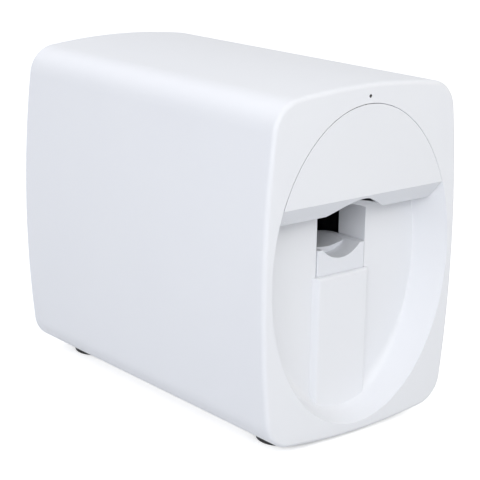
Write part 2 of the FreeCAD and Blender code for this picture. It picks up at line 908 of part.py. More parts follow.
def front_frame():
    """The front plate with its spigot, the bowl of the recess, the cover's ledge and the cheeks."""
    front = size.panel_thickness
    back = size.recess_depth
    plate = prism(0.0, 0.0, front)
    plate = plate.makeFillet(size.front_edge, edges_in_plane(plate, 0.0))
    ring_outer = size.wall + size.fit_gap
    ring = sleeve(ring_outer, ring_outer + size.spigot_wall, front, front + size.spigot_depth)
    foot_room = size.foot_radius + size.foot_boss_wall + size.running_gap
    for side in (-1, 1):
        foot = (side * size.foot_x, size.foot_front, -1)
        ring = ring.cut(bar(foot_room, size.deck_height + 1, foot, UP))
    bowl = oval_funnel(size.bowl_wall, 0.0, back + size.bowl_wall).cut(above(size.lip_height))
    ledge = oval_funnel(size.bowl_wall, 0.0, cover_seat_depth() + size.ledge_thickness)
    ledge = ledge.cut(below(cover_section()[4][1] + size.running_gap))
    cheeks = []
    half = size.slot_width / 2
    for side in (-1, 1):
        low, high = sorted((side * half, side * (half + size.bowl_wall)))
        cheeks.append(slab(low, high, back, size.cheek_end,
                           size.slot_bottom - size.cheek_drop, size.back_wall_top))
    return plate.fuse([ring, bowl, ledge] + cheeks)


def cover_seat_depth():
    """How far behind the front face the cover's ledge lies."""
    return size.cover_thickness + size.cover_seat


def arched(half, base, foot, crown, start, run):
    """A prism seen from the front: straight sides from base to foot, then an arch that rises by crown."""
    left, right = Vector(-half, start, foot), Vector(half, start, foot)
    arch = Part.Arc(left, Vector(0, start, foot + crown), right).toShape()
    corners = [right, Vector(half, start, base), Vector(-half, start, base), left]
    sides = [Part.LineSegment(*pair).toShape() for pair in zip(corners, corners[1:])]
    return Part.Face(Part.Wire([arch] + sides)).extrude(run)


def front_openings():
    """The recess, the room for the cover, the window behind it and the arched finger slot."""
    back = size.recess_depth
    half = size.slot_width / 2
    ledge_back = cover_seat_depth() + size.ledge_thickness
    over_lip = above(size.lip_height - 1)
    wall = size.bowl_wall + 1
    brow = arched(size.brow_half, size.slot_bottom, size.back_wall_top, size.brow_crown, back,
                  Vector(0, wall, -size.brow_slope * wall))
    window = slab(-size.oval_half_width, size.oval_half_width, back, back + wall,
                  size.back_wall_top, size.lip_height + 1)
    slot_start = back - size.pillar_proud - 1
    return [
        recess_hollow().common(below(size.lip_height)),
        oval_funnel(0.0, -1.0, cover_seat_depth()).common(over_lip),
        oval_funnel(-size.ledge_width, 0.0, ledge_back + 1).common(over_lip),
        window.cut(brow),
        arched(half, size.slot_bottom, size.slot_side_top, size.slot_crown, slot_start,
               Vector(0, size.cheek_end + 1 - slot_start, 0)),
    ]


def apron_room():
    """The pocket behind the pillar's top that the finger rest's apron slides in."""
    half = size.slot_width / 2
    return slab(-half, half, size.rest_front - size.running_gap, size.cheek_end,
                size.slot_bottom - size.apron_drop - size.running_gap, size.slot_bottom + size.running_gap)


def pillar():
    """The raised pillar below the slot, with soft front edges."""
    top = size.slot_bottom - size.pillar_drop
    root_depth = size.recess_depth + size.slip
    face_depth = size.recess_depth - size.pillar_proud
    root, face = size.pillar_root / 2, size.pillar_width / 2
    corners = [(-root, root_depth), (-face, face_depth), (face, face_depth), (root, root_depth)]
    block = polygon([(x, y, size.pillar_foot) for x, y in corners],
                    Vector(0, 0, top - size.pillar_foot))
    crest = [edge for edge in edges_in_plane(block, face_depth)
             if edge.BoundBox.ZMin > top - 1e-4 or edge.BoundBox.XLength < 1e-4]
    return block.makeFillet(size.pillar_blend, crest)


def front_panel():
    panel = front_frame().cut(front_openings()).fuse(pillar()).cut(apron_room())
    holes = [bar(size.pipe_radius + size.slip, size.pipe_length, (0, -1, size.pipe_height), BACK)]
    for x, z in magnet_places():
        holes.append(bar(size.magnet_radius + size.slip, size.magnet_thickness + size.slip,
                         (x, cover_seat_depth(), z), BACK))
    return finish("front_panel", shaped("front_shape", panel.cut(holes).removeSplitter()))


def magnet_places():
    """x and z of the cover's magnets: one at the top, one at each shoulder."""
    draft = size.side_draft * cover_seat_depth() / size.recess_depth
    half_w = size.oval_half_width - size.magnet_inset - draft
    half_h = size.oval_half_height - size.magnet_inset
    for angle in (size.magnet_angle, 90.0, 180.0 - size.magnet_angle):
        turn = math.radians(angle)
        yield half_w * math.cos(turn), size.oval_middle + half_h * math.sin(turn)


def cover_section():
    """Side view of the cover: a flat front whose lower end turns back in a chamfered lip."""
    length = math.hypot(size.lip_depth, size.lip_drop)
    along = (size.lip_depth / length, -size.lip_drop / length)
    inward = (-along[1], along[0])
    thick = size.cover_thickness
    start = (inward[0] * thick, size.lip_height + inward[1] * thick)
    to_front = (thick - start[0]) / along[0]
    to_end = (size.lip_depth - start[0]) / along[0]
    top = size.body_height + 10
    return [
        (0.0, top),
        (0.0, size.lip_height),
        (size.lip_depth, size.lip_height - size.lip_drop),
        (size.lip_depth, start[1] + to_end * along[1]),
        (thick, start[1] + to_front * along[1]),
        (thick, top),
    ]


def notch_solid():
    """The bell-shaped notch over the finger slot, as a solid to cut away."""
    points = []
    reach = size.notch_half_width + size.notch_overrun
    for step in range(NOTCH_STEPS + 1):
        x = -reach + 2 * reach * step / NOTCH_STEPS
        share = x / size.notch_half_width
        height = size.notch_top - size.notch_drop * share ** 2 + size.notch_flare * share ** 4
        points.append(Vector(x, -1, height))
    bell = Part.BSplineCurve()
    bell.interpolate(points)
    floor = size.slot_bottom
    sides = [points[-1], Vector(reach, -1, floor), Vector(-reach, -1, floor), points[0]]
    wire = Part.Wire([bell.toShape()] + [
        Part.LineSegment(sides[i], sides[i + 1]).toShape() for i in range(3)])
    return Part.Face(wire).extrude(Vector(0, 2 * size.lip_depth, 0))


def front_cover():
    wide = 2 * size.body_width
    section = [(-wide / 2, y, z) for y, z in cover_section()]
    cover = polygon(section, Vector(wide, 0, 0))
    cover = cover.common(oval_funnel(-size.cover_gap, 0.0, size.lip_depth + 1))
    cover = cover.cut(notch_solid())
    rib_back = size.cover_thickness + size.ledge_thickness + 1
    tall = size.oval_middle + size.oval_half_height - size.lip_height
    for level in range(1, COVER_RIBS + 1):
        z = size.lip_height + level * tall / (COVER_RIBS + 1)
        half = size.cover_rib_half / level
        rib = slab(-half, half, size.cover_thickness, rib_back, z, z + size.cover_rib)
        cover = cover.fuse(rib)
    for x, z in magnet_places():
        cover = cover.cut(bar(size.magnet_radius + size.slip, size.magnet_thickness,
                              (x, size.cover_thickness - size.magnet_thickness, z), BACK))
    finish("front_cover", shaped("cover_shape", cover.removeSplitter()))
    for label, front in (("cover_magnets", size.cover_thickness - size.magnet_thickness),
                         ("panel_magnets", cover_seat_depth() + size.slip)):
        discs = [bar(size.magnet_radius, size.magnet_thickness, (x, front, z), BACK)
                 for x, z in magnet_places()]
        finish(label, shaped(label + "_shape", Part.Compound(discs)))


def status_light_pipe():
    rod = cylinder("pipe_rod", "y", ("0", "0", "pipe_height"), "pipe_radius", "pipe_length")
    collar = cylinder("pipe_ring", "y", ("0", "panel_thickness", "pipe_height"),
                      "pipe_collar", "pipe_length - panel_thickness")
    finish("status_light_pipe", fuse("pipe", rod, collar))


def io_post_place(side):
    """x and z of one of the two posts that carry the rear board."""
    return side * (size.io_board_half - size.board_post_inset), size.io_board_low + size.io_board_height / 2


def rear_posts(inner):
    """What stands inside the rear panel: its spigot, screw bosses, board posts and fan pads."""
    ring_outer = size.wall + size.fit_gap
    seat = inner - size.spigot_depth
    posts = [sleeve(ring_outer, ring_outer + size.spigot_wall, seat, inner)]
    for x, z in rear_boss_places():
        boss = bar(size.corner_boss, size.spigot_depth, (x, seat, z), BACK)
        posts.append(boss.common(prism(ring_outer, seat, inner)))
    board_back = size.io_board_y + size.board_thickness
    offset = size.fan_size / 2 - size.board_post
    for side in (-1, 1):
        x, z = io_post_place(side)
        posts.append(bar(size.board_post, inner - board_back, (x, board_back, z), BACK))
        for rise in (-1, 1):
            pad_foot = (side * offset, inner - size.running_gap, size.fan_z + rise * offset)
            posts.append(bar(size.board_post, size.running_gap, pad_foot, BACK))
    return posts


def rear_holes(inner):
    """Screw holes, the openings for jack, socket and button, and the rows of the fan's vent."""
    holes = []
    through = size.panel_thickness + 2
    for x, z in rear_boss_places():
        seat = (x, inner - size.spigot_depth - 1, z)
        holes.append(bar(size.screw_radius + size.slip, size.spigot_depth + through, seat, BACK))
        head = (x, size.body_depth - size.screw_head_height, z)
        holes.append(bar(size.screw_head + size.fit_gap, size.screw_head_height + 1, head, BACK))
    for side in (-1, 1):
        x, z = io_post_place(side)
        start = (x, size.io_board_y + size.board_thickness - 1, z)
        holes.append(bar(size.screw_radius, size.board_screw_length, start, BACK))
    for x, radius in ((size.jack_x, size.jack_radius + size.fit_gap),
                      (size.button_x, size.button_radius + size.running_gap)):
        holes.append(bar(radius, through, (x, inner - 1, size.port_height), BACK))
    usb_half = size.usb_width / 2 + size.fit_gap
    usb_rise = size.usb_thickness / 2 + size.fit_gap
    holes.append(slab(size.usb_x - usb_half, size.usb_x + usb_half, inner - 1, size.body_depth + 1,
                      size.port_height - usb_rise, size.port_height + usb_rise))
    for row in range(VENT_ROWS):
        rise = (row - (VENT_ROWS - 1) / 2) * size.vent_pitch
        reach = math.sqrt(size.vent_half ** 2 - rise ** 2)
        low = size.fan_z + rise - size.vent_height / 2
        holes.append(slab(-reach, reach, inner - 1, size.body_depth + 1, low, low + size.vent_height))
    return holes


def rear_panel():
    inner = size.body_depth - size.panel_thickness
    panel = prism(0.0, inner, size.body_depth)
    panel = panel.makeFillet(size.rear_edge, edges_in_plane(panel, size.body_depth))
    panel = panel.fuse(rear_posts(inner)).cut(rear_holes(inner)).removeSplitter()
    finish("rear_panel", shaped("rear_shape", panel))


def case_screws():
    seat = size.body_depth - size.screw_head_height
    screws = [screw((x, seat, z), FORWARD, size.case_screw_length) for x, z in rear_boss_places()]
    finish("case_screws", shaped("case_screw_shape", Part.Compound(screws)))


def screw(seat, direction, length):
    """A socket screw: seat is the face under its head, direction is where its point goes."""
    seat, direction = Vector(*seat), Vector(*direction)
    tall = size.screw_head_height
    head = Part.makeCylinder(size.screw_head, tall, seat, direction * -1)
    shank = Part.makeCylinder(size.screw_radius, length, seat, direction)
    socket = Part.makeCylinder(size.screw_radius, tall, seat - direction * (tall / 2), direction * -1)
    return head.fuse(shank).cut(socket)


def base_screws():
    """Screws that go up through the base plate and hold the chassis."""
    seat = size.deck_height - size.screw_grip
    screws = [screw((side * size.deck_screw_x, y, seat), UP, size.screw_grip + size.sheet)
              for side, y in deck_places()]
    finish("base_screws", shaped("base_screw_shape", Part.Compound(screws)))


def board_screws():
    """Screws of the main board, the rear board and the lamp board."""
    length = size.board_screw_length
    top = size.board_height + size.board_thickness
    screws = [screw((x, y, top), DOWN, length) for x, y in board_post_places()]
    for side in (-1, 1):
        x, z = io_post_place(side)
        screws.append(screw((x, size.io_board_y, z), BACK, length))
        x, y, z = lamp_post_place(side)
        screws.append(screw((x, y, z - size.board_thickness), UP, size.lamp_screw_length))
    finish("board_screws", shaped("board_screw_shape", Part.Compound(screws)))


# ---------------------------------------------------------------- finger rest and lift


def rest_plan(name, start, low, height):
    """A block under the finger, with straight sides and two rounded rear corners."""
    half = "(slot_width / 2 - rest_gap)"
    bend = "(plate_end - rest_corner)"
    blocks = [
        wide_box(f"{name}_front", half, start, f"{bend} - {start}", low, height),
        wide_box(f"{name}_middle", f"{half} - rest_corner", start, f"plate_end - {start}", low, height),
    ]
    for side in (-1, 1):
        corner = (f"{side} * ({half} - rest_corner)", bend, low)
        blocks.append(cylinder(f"{name}_corner_{side + 1}", "z", corner, "rest_corner", height))
    return fuse(f"{name}_plan", *blocks)


def finger_cradle():
    """The bed that the finger lies in, with an apron below it that closes the slot."""
    apron_low = "slot_bottom - apron_drop"
    bed = rest_plan("bed", "rest_front", "bed_low", "rest_height - bed_low")
    apron = wide_box("cradle_apron", "slot_width / 2 - rest_gap", "rest_front", "cradle_depth",
                     apron_low, f"bed_low - ({apron_low})")
    channel = cylinder("cradle_channel", "y", ("0", "rest_front - 1", "cradle_cut_low + cradle_cut"),
                       "cradle_cut", "plate_end - rest_front + 2")
    cradle = cut("cradle", fuse("cradle_solid", bed, apron), channel)
    doc.recompute()
    corners = [number for number, edge in enumerate(cradle.Shape.Edges, start=1)
               if abs(edge.BoundBox.YMin - size.rest_front) < 1e-4
               and edge.BoundBox.YLength < 1e-4 and edge.BoundBox.XLength < 1e-4]
    rounded = doc.addObject("Part::Fillet", "cradle_round")
    rounded.Base = cradle
    rounded.Edges = [(number, size.cradle_edge, size.cradle_edge) for number in corners]
    finish("finger_cradle", rounded)


def finger_plate():
    """A raised plate in the channel's rear half, with a shallow dish that climbs to the rear."""
    fill = cylinder("plate_fill", "y", ("0", "plate_front", "cradle_cut_low + cradle_cut"),
                    "cradle_cut - slip", "plate_end - plate_front")
    level = rest_plan("plate", "plate_front", "cradle_cut_low", "rest_height - cradle_cut_low")
    tilt = math.radians(size.plate_tilt)
    run = Vector(0, math.cos(tilt), math.sin(tilt))
    lowest = Vector(0, size.plate_front, size.plate_top)
    axis = lowest + Vector(0, -run.z, run.y) * size.plate_hollow
    dish = bar(size.plate_hollow, 2 * size.plate_end, tuple(axis - run * size.plate_front), tuple(run))
    finish("finger_plate", cut("plate", common("plate_block", fill, level), shaped("plate_dish", dish)))


def lift_bracket():
    start = "rest_front + cradle_depth"
    shelf = wide_box("bracket_shelf", "bracket_width / 2", start,
                     f"bracket_web + bracket_sheet - ({start})", "bed_low - bracket_sheet", "bracket_sheet")
    web = wide_box("bracket_web_plate", "bracket_width / 2", "bracket_web", "bracket_sheet",
                   "lift_block_low", "bed_low - lift_block_low")
    block = wide_box("bracket_block", "tower_width / 2 - running_gap", "bracket_web",
                     "lift_block_depth", "lift_block_low", "lift_block_height")
    holes = [cylinder("bracket_nut_bore", "z", ("0", "lift_axis", "lift_block_low - 1"),
                      "lift_screw_radius + slip", "lift_block_height + 2")]
    for side in (-1, 1):
        holes.append(cylinder(f"bracket_rod_bore_{side + 1}", "z",
                              (f"{side} * lift_rod_spacing / 2", "lift_axis", "lift_block_low - 1"),
                              "lift_rod_radius + slip", "lift_block_height + 2"))
    finish("lift_bracket", cut("bracket", fuse("bracket_solid", shelf, web, block), *holes))


def lift_tower():
    depth = "tower_back - tower_front"
    spine = wide_box("tower_spine", "tower_width / 2", "tower_back", "tower_sheet",
                     "deck_height", "tower_high + tower_plate - deck_height")
    foot = wide_box("tower_foot", "tower_width / 2", "tower_front", depth,
                    "deck_height", "tower_sheet")
    low = wide_box("tower_low_plate", "tower_width / 2", "tower_front", depth,
                   "tower_low", "tower_plate")
    high_front = "bracket_web + bracket_sheet + running_gap"
    high = wide_box("tower_high_plate", "tower_width / 2", high_front,
                    f"tower_back - ({high_front})", "tower_high", "tower_plate")
    holes = [cylinder("tower_screw_bore", "z", ("0", "lift_axis", "tower_low - 1"),
                      "lift_screw_radius + slip", "tower_high - tower_low + tower_plate + 2")]
    for side in (-1, 1):
        holes.append(cylinder(f"tower_rod_bore_{side + 1}", "z",
                              (f"{side} * lift_rod_spacing / 2", "lift_axis", "tower_low - 1"),
                              "lift_rod_radius", "tower_high - tower_low + tower_plate + 2"))
    finish("lift_tower", cut("tower", fuse("tower_solid", spine, foot, low, high), *holes))

    span = "tower_high - tower_low + tower_plate"
    for side, name in ((-1, "left"), (1, "right")):
        rod = cylinder(f"lift_rod_{name}_bar", "z",
                       (f"{side} * lift_rod_spacing / 2", "lift_axis", "tower_low"),
                       "lift_rod_radius", span)
        finish(f"lift_rod_{name}", rod)
    screw = cylinder("lift_screw_bar", "z", ("0", "lift_axis", "tower_low + running_gap"),
                     "lift_screw_radius", f"{span} - running_gap")
    finish("lift_screw", screw)


def motor(label, axis, centre, length):
    """A small square stepper with bevelled corners."""
    plane = {"y": "XZ_Plane", "z": "XY_Plane"}[axis]
    direction = {"y": Vector(0, 1, 0), "z": Vector(0, 0, 1)}[axis]
    case = new_body(label + "_body")
    sketch = plan(case, label + "_square", plane, centre)
    rectangle(sketch, "motor_size", "motor_size")
    block = pad(case, sketch, length)
    chamfer_along(case, block, direction, "motor_corner")
    finish(label, case)


# ---------------------------------------------------------------- chassis


def chassis(label, side):
    """One folded side plate: a foot flange, and an ear at each end for the rod."""
    def across(near, far):
        """Low x and width between two distances from the middle, on this side."""
        low = f"{near}" if side > 0 else f"-({far})"
        return low, f"({far}) - ({near})"

    outer = "chassis_x + sheet"
    length = "chassis_rear - chassis_front"
    low, width = across("chassis_x", outer)
    plate = box(f"{label}_plate", (low, "chassis_front", "deck_height"),
                (width, length, "chassis_top - deck_height"))
    low, width = across("chassis_x - chassis_foot", outer)
    flange = box(f"{label}_flange", (low, "chassis_front", "deck_height"), (width, length, "sheet"))
    low, width = across("chassis_x - ear_width", outer)
    ears = [
        box(f"{label}_ear_{name}", (low, start, "ear_low"), (width, "sheet", "chassis_top - ear_low"))
        for name, start in (("front", "chassis_front"), ("rear", "chassis_rear - sheet"))
    ]
    rod = cylinder(f"{label}_rod_hole", "y", (f"{side} * y_rod_x", "chassis_front - 1", "y_rod_z"),
                   "y_rod_radius", f"{length} + 2")
    screw = cylinder(f"{label}_screw_hole", "y",
                     (f"{side} * y_rod_x", "chassis_front - 1", "y_screw_z"),
                     "y_screw_radius + slip", f"{length} + 2")
    holes = [rod, screw]
    for number, y in enumerate(("deck_screw_front", "deck_screw_rear")):
        holes.append(cylinder(f"{label}_deck_hole_{number}", "z",
                              (f"{side} * deck_screw_x", y, "deck_height - 1"),
                              "screw_radius", "sheet + 2"))
    body = fuse(f"{label}_solid", plate, flange, *ears)
    finish(label, cut(f"{label}_cut", body, *holes))


def cross_brace():
    half = "chassis_x"
    length = "brace_rear - brace_front"
    top = wide_box("brace_top", half, "brace_front", length, "brace_height", "sheet")
    tabs = [
        box(f"brace_tab_{name}", (low, "brace_front", "brace_height - brace_flange"),
            ("sheet", length, "brace_flange"))
        for name, low in (("left", "-chassis_x"), ("right", "chassis_x - sheet"))
    ]
    finish("cross_brace", fuse("brace", top, *tabs))


def y_drive():
    start = "chassis_front - y_rod_overhang"
    length = "chassis_rear - chassis_front + 2 * y_rod_overhang"
    for side, name in ((-1, "left"), (1, "right")):
        finish(f"y_rod_{name}",
               cylinder(f"y_rod_{name}_bar", "y", (f"{side} * y_rod_x", start, "y_rod_z"),
                        "y_rod_radius", length))
    finish("y_screw", cylinder("y_screw_bar", "y", ("y_rod_x", start, "y_screw_z"),
                               "y_screw_radius", f"{length} - y_rod_overhang - running_gap"))
    motor("y_motor", "y", ("y_rod_x", "chassis_rear", "y_screw_z"), "y_motor_length")


def gantry():
    plate_back = "gantry_plate_front + gantry_plate"
    outer = "y_rod_x + cheek_width / 2"
    plate = wide_box("gantry_plate_block", outer, "gantry_plate_front", "gantry_plate",
                     "gantry_plate_low", "cheek_high - gantry_plate_low")
    cheeks = [
        box("gantry_cheek_left", (f"-({outer})", "cheek_front", "cheek_low"),
            ("cheek_width", f"{plate_back} - cheek_front", "cheek_high - cheek_low")),
        box("gantry_cheek_right", (f"{outer} - cheek_width", "cheek_front", "cheek_low"),
            ("cheek_width", f"{plate_back} - cheek_front", "cheek_high - cheek_low")),
    ]
    through = f"{plate_back} - cheek_front + 2"
    holes = []
    for side in (-1, 1):
        x = f"{side} * y_rod_x"
        holes.append(cylinder(f"gantry_rod_hole_{side + 1}", "y", (x, "cheek_front - 1", "y_rod_z"),
                              "y_rod_radius + running_gap", through))
        holes.append(cylinder(f"gantry_bush_seat_{side + 1}", "y", (x, "cheek_front - 1", "y_rod_z"),
                              "bush_radius", "bush_length + 1"))
        holes.append(cylinder(f"gantry_screw_hole_{side + 1}", "y",
                              (x, "cheek_front - 1", "y_screw_z"),
                              "y_screw_radius + running_gap", through))
    holes.append(cylinder("gantry_nut_seat", "y", ("y_rod_x", "cheek_front - 1", "y_screw_z"),
                          "nut_radius", "nut_length + 1"))
    for name, z in (("low", "x_rod_low"), ("high", "x_rod_high")):
        holes.append(cylinder(f"gantry_x_rod_{name}", "x", ("-x_rod_half", "x_rod_y", z),
                              "x_rod_radius", "2 * x_rod_half"))
    holes.append(cylinder("gantry_shaft_hole", "y", ("pulley_x", "gantry_plate_front - 1", "pulley_z"),
                          "axle_radius + running_gap", "gantry_plate + 2"))
    stud = cylinder("gantry_idler_stud", "y", ("-pulley_x", "pulley_front", "pulley_z"),
                    "axle_radius", "gantry_plate_front + 1 - pulley_front")
    finish("gantry_frame", cut("gantry", fuse("gantry_solid", plate, stud, *cheeks), *holes))

    for side, name in ((-1, "left"), (1, "right")):
        x = f"{side} * y_rod_x"
        sleeve_bar = cylinder(f"bush_{name}_bar", "y", (x, "cheek_front", "y_rod_z"),
                              "bush_radius", "bush_length")
        bore = cylinder(f"bush_{name}_bore", "y", (x, "cheek_front - 1", "y_rod_z"),
                        "y_rod_radius + slip", "bush_length + 2")
        finish(f"gantry_bush_{name}", cut(f"bush_{name}", sleeve_bar, bore))
    nut = cylinder("nut_bar", "y", ("y_rod_x", "cheek_front", "y_screw_z"), "nut_radius", "nut_length")
    nut_bore = cylinder("nut_bore", "y", ("y_rod_x", "cheek_front - 1", "y_screw_z"),
                        "y_screw_radius + slip", "nut_length + 2")
    finish("drive_nut", cut("nut", nut, nut_bore))
    for name, z in (("lower", "x_rod_low"), ("upper", "x_rod_high")):
        finish(f"x_rod_{name}", cylinder(f"x_rod_{name}_bar", "x", ("-x_rod_half", "x_rod_y", z),
                                         "x_rod_radius", "2 * x_rod_half"))
    motor("x_motor", "y", ("pulley_x", plate_back, "pulley_z"), "x_motor_length")


def pulley_solid(name, x):
    """A flanged pulley that carries the belt between its rims."""
    rim = "pulley_flange_thickness"
    groove = "belt_width + 2 * fit_gap"
    hub = cylinder(f"{name}_hub", "y", (x, "pulley_front", "pulley_z"),
                   "pulley_radius", f"{groove} + 2 * {rim}")
    rims = [
        cylinder(f"{name}_rim_{number}", "y", (x, start, "pulley_z"), "pulley_flange", rim)
        for number, start in enumerate(("pulley_front", f"pulley_front + {rim} + {groove}"))
    ]
    return fuse(f"{name}_solid", hub, *rims)


def x_drive():
    """The motor's pulley with its shaft, the idler on its stud, and the belt round both."""
    shaft = cylinder("shaft_bar", "y", ("pulley_x", "pulley_front", "pulley_z"), "axle_radius",
                     "gantry_plate_front + gantry_plate - running_gap - pulley_front")
    finish("drive_pulley", fuse("drive_pulley_set", pulley_solid("drive", "pulley_x"), shaft))
    bore = cylinder("idler_bore", "y", ("-pulley_x", "pulley_front - 1", "pulley_z"),
                    "axle_radius + slip", "gantry_plate_front - pulley_front + 2")
    finish("idler_pulley", cut("idler", pulley_solid("idler", "-pulley_x"), bore))

    start = size.pulley_front + size.pulley_flange_thickness + size.fit_gap
    inner = size.pulley_radius + size.slip
    loops = []
    for radius in (inner + size.belt_thickness, inner):
        ends = [bar(radius, size.belt_width, (side * size.pulley_x, start, size.pulley_z), BACK)
                for side in (-1, 1)]
        middle = slab(-size.pulley_x, size.pulley_x, start, start + size.belt_width,
                      size.pulley_z - radius, size.pulley_z + radius)
        loops.append(middle.fuse(ends))
    finish("drive_belt", shaped("belt_shape", loops[0].cut(loops[1]).removeSplitter()))


# ---------------------------------------------------------------- carriage


def print_carriage():
    width = "2 * carriage_half"
    depth = "carriage_block_front - carriage_front"
    tub = wide_box("tub", "carriage_half", "carriage_front", depth,
                   "carriage_low", "carriage_side - carriage_low")
    room = box("tub_room",
               ("-carriage_half + carriage_wall", "carriage_front + carriage_wall",
                "carriage_low + carriage_wall"),
               (f"{width} - 2 * carriage_wall", f"{depth} - 2 * carriage_wall",
                "carriage_side - carriage_low"))
    mouth = box("tub_mouth",
                ("-carriage_half + carriage_wall", "carriage_front - 1", "front_sill"),
                (f"{width} - 2 * carriage_wall", "carriage_wall + 2", "carriage_side - front_sill + 1"))
    snout_room = box("tub_snout_room",
                     ("-snout_half - running_gap", "snout_front - running_gap", "carriage_low - 1"),
                     ("2 * (snout_half + running_gap)", "snout_length + 2 * running_gap",
                      "carriage_wall + 2"))
    block = wide_box("carriage_block", "carriage_block_half", "carriage_block_front",
                     "carriage_block_back - carriage_block_front", "carriage_block_low",
                     "carriage_block_high - carriage_block_low")
    run_z = "pulley_z - pulley_radius - slip"
    jaw_y = "carriage_block_back - 1"
    jaw_depth = "pulley_front + pulley_flange_thickness + belt_width + fit_gap + 1 - carriage_block_back"
    jaws = [
        wide_box("upper_jaw", "jaw_half", jaw_y, jaw_depth, f"{run_z} + running_gap",
                 "jaw_thickness"),
        wide_box("lower_jaw", "jaw_half", jaw_y, jaw_depth,
                 f"{run_z} - belt_thickness - running_gap - jaw_thickness", "jaw_thickness"),
    ]
    ears = [
        box(f"latch_ear_{name}", (x, "latch_y - latch_barrel", "latch_z - latch_barrel"),
            ("latch_ear", "carriage_front - latch_y + latch_barrel", "2 * latch_barrel"))
        for name, x in (("left", "-latch_half - running_gap - latch_ear"),
                        ("right", "latch_half + running_gap"))
    ]
    holes = [
        cylinder(f"carriage_bore_{name}", "x", ("-carriage_block_half - 1", "x_rod_y", z),
                 "x_rod_radius + slip", "2 * carriage_block_half + 2")
        for name, z in (("low", "x_rod_low"), ("high", "x_rod_high"))
    ]
    holes.append(cylinder("latch_pin_bore", "x",
                          ("-latch_half - latch_ear - 1", "latch_y", "latch_z"),
                          "latch_pin_radius + slip", "2 * (latch_half + latch_ear + 1)"))
    solid = fuse("carriage_solid", tub, block, *jaws, *ears)
    finish("print_carriage", cut("carriage", solid, room, mouth, snout_room, *holes))


def ink_cartridge():
    half = "(carriage_half - carriage_wall - cartridge_gap)"
    start = "carriage_front + carriage_wall + cartridge_gap"
    end = "carriage_block_front - carriage_wall - cartridge_gap"
    low = "carriage_low + carriage_wall"
    case = new_body("cartridge_body")
    base = plan(case, "cartridge_plan", "XY_Plane", ("0", f"({start} + {end}) / 2", low))
    rectangle(base, f"2 * {half}", f"({end}) - ({start})")
    block = pad(case, base, f"cartridge_top - ({low})")
    chamfer_along(case, block, Vector(0, 0, 1), "cartridge_edge")
    snout = plan(case, "snout_plan", "XY_Plane",
                 ("0", "snout_front + snout_length / 2", "nozzle_height"))
    rectangle(snout, "2 * snout_half", "snout_length")
    pad(case, snout, f"{low} - nozzle_height + cartridge_edge")
    finish("ink_cartridge", case)


def cartridge_latch():
    flap = wide_box("latch_flap", "latch_half", "latch_y - latch_thickness / 2", "latch_thickness",
                    "latch_z", "latch_height")
    barrel = cylinder("latch_barrel_bar", "x", ("-latch_half", "latch_y", "latch_z"),
                      "latch_barrel", "2 * latch_half")
    grip = cylinder("latch_grip", "x",
                    ("-latch_half", "latch_y - latch_thickness / 2", "latch_z + latch_height"),
                    "latch_thickness / 2", "2 * latch_half")
    pin = cylinder("latch_pin_bar", "x", ("-latch_half - latch_ear", "latch_y", "latch_z"),
                   "latch_pin_radius", "2 * (latch_half + latch_ear)")
    finish("cartridge_latch", fuse("latch_solid", flap, barrel, grip, pin))


def camera():
    right = "-carriage_half"
    block = box("camera_block", (f"{right} - camera_width", "camera_front", "camera_low"),
                ("camera_width", "camera_depth", "camera_height"))
    centre = (f"{right} - camera_width / 2", "camera_front + camera_depth / 2")
    seat = cylinder("camera_seat", "z", (*centre, "camera_low - 1"), "lens_radius", "lens_reach + 1")
    finish("camera_housing", cut("camera", block, seat))
    barrel = cylinder("lens_bar", "z", (*centre, "camera_low - lens_reach"),
                      "lens_radius", "2 * lens_reach")
    dish = cylinder("lens_dish", "z", (*centre, "camera_low - lens_reach - 1"),
                    "lens_dish", "1 + lens_dish_depth")
    finish("camera_lens", cut("lens", barrel, dish))


# ---------------------------------------------------------------- service station


def service_station():
    floor = "brace_height + sheet"
    length = "tray_rear - tray_front"
    tub = wide_box("tray_block", "tray_half", "tray_front", length, floor, "tray_height")
    wet_room = wide_box("tray_room", "tray_half - tray_wall", "tray_split",
                        "tray_rear - tray_wall - tray_split", f"{floor} + tray_wall", "tray_height")
    cap_centre = "snout_front + snout_length / 2"
    pedestal_top = "nozzle_height - running_gap - cap_height"
    pedestal = wide_box("tray_pedestal", "cap_half - cap_lip", f"{cap_centre} - cap_depth / 2 + cap_lip",
                        "cap_depth - 2 * cap_lip", floor, f"{pedestal_top} - ({floor})")
    socket_depth = "wiper_socket"
    socket = wide_box("wiper_slot", "wiper_half", "wiper_y", "wiper_thickness",
                      f"{floor} + tray_height - {socket_depth}", f"{socket_depth} + 1")
    tray = cut("tray", fuse("tray_solid", tub, pedestal), wet_room, socket)
    finish("service_tray", tray)

    cup = wide_box("cap_block", "cap_half", f"{cap_centre} - cap_depth / 2", "cap_depth",
                   pedestal_top, "cap_height")
    well = wide_box("cap_well", "cap_half - cap_lip", f"{cap_centre} - cap_depth / 2 + cap_lip",
                    "cap_depth - 2 * cap_lip", f"{pedestal_top} + cap_height / 2", "cap_height")
    finish("nozzle_cap", cut("cap", cup, well))
    blade = wide_box("wiper", "wiper_half", "wiper_y", "wiper_thickness",
                     f"{floor} + tray_height - {socket_depth}",
                     f"nozzle_height - running_gap - ({floor} + tray_height - {socket_depth})")
    finish("wiper_blade", blade)
    pad_block = wide_box("waste", "tray_half - tray_wall - fit_gap", "tray_split + fit_gap",
                         "tray_rear - tray_wall - tray_split - 2 * fit_gap",
                         f"{floor} + tray_wall", "tray_height - tray_wall - 1")
    finish("waste_pad", pad_block)


# ---------------------------------------------------------------- electronics and fan


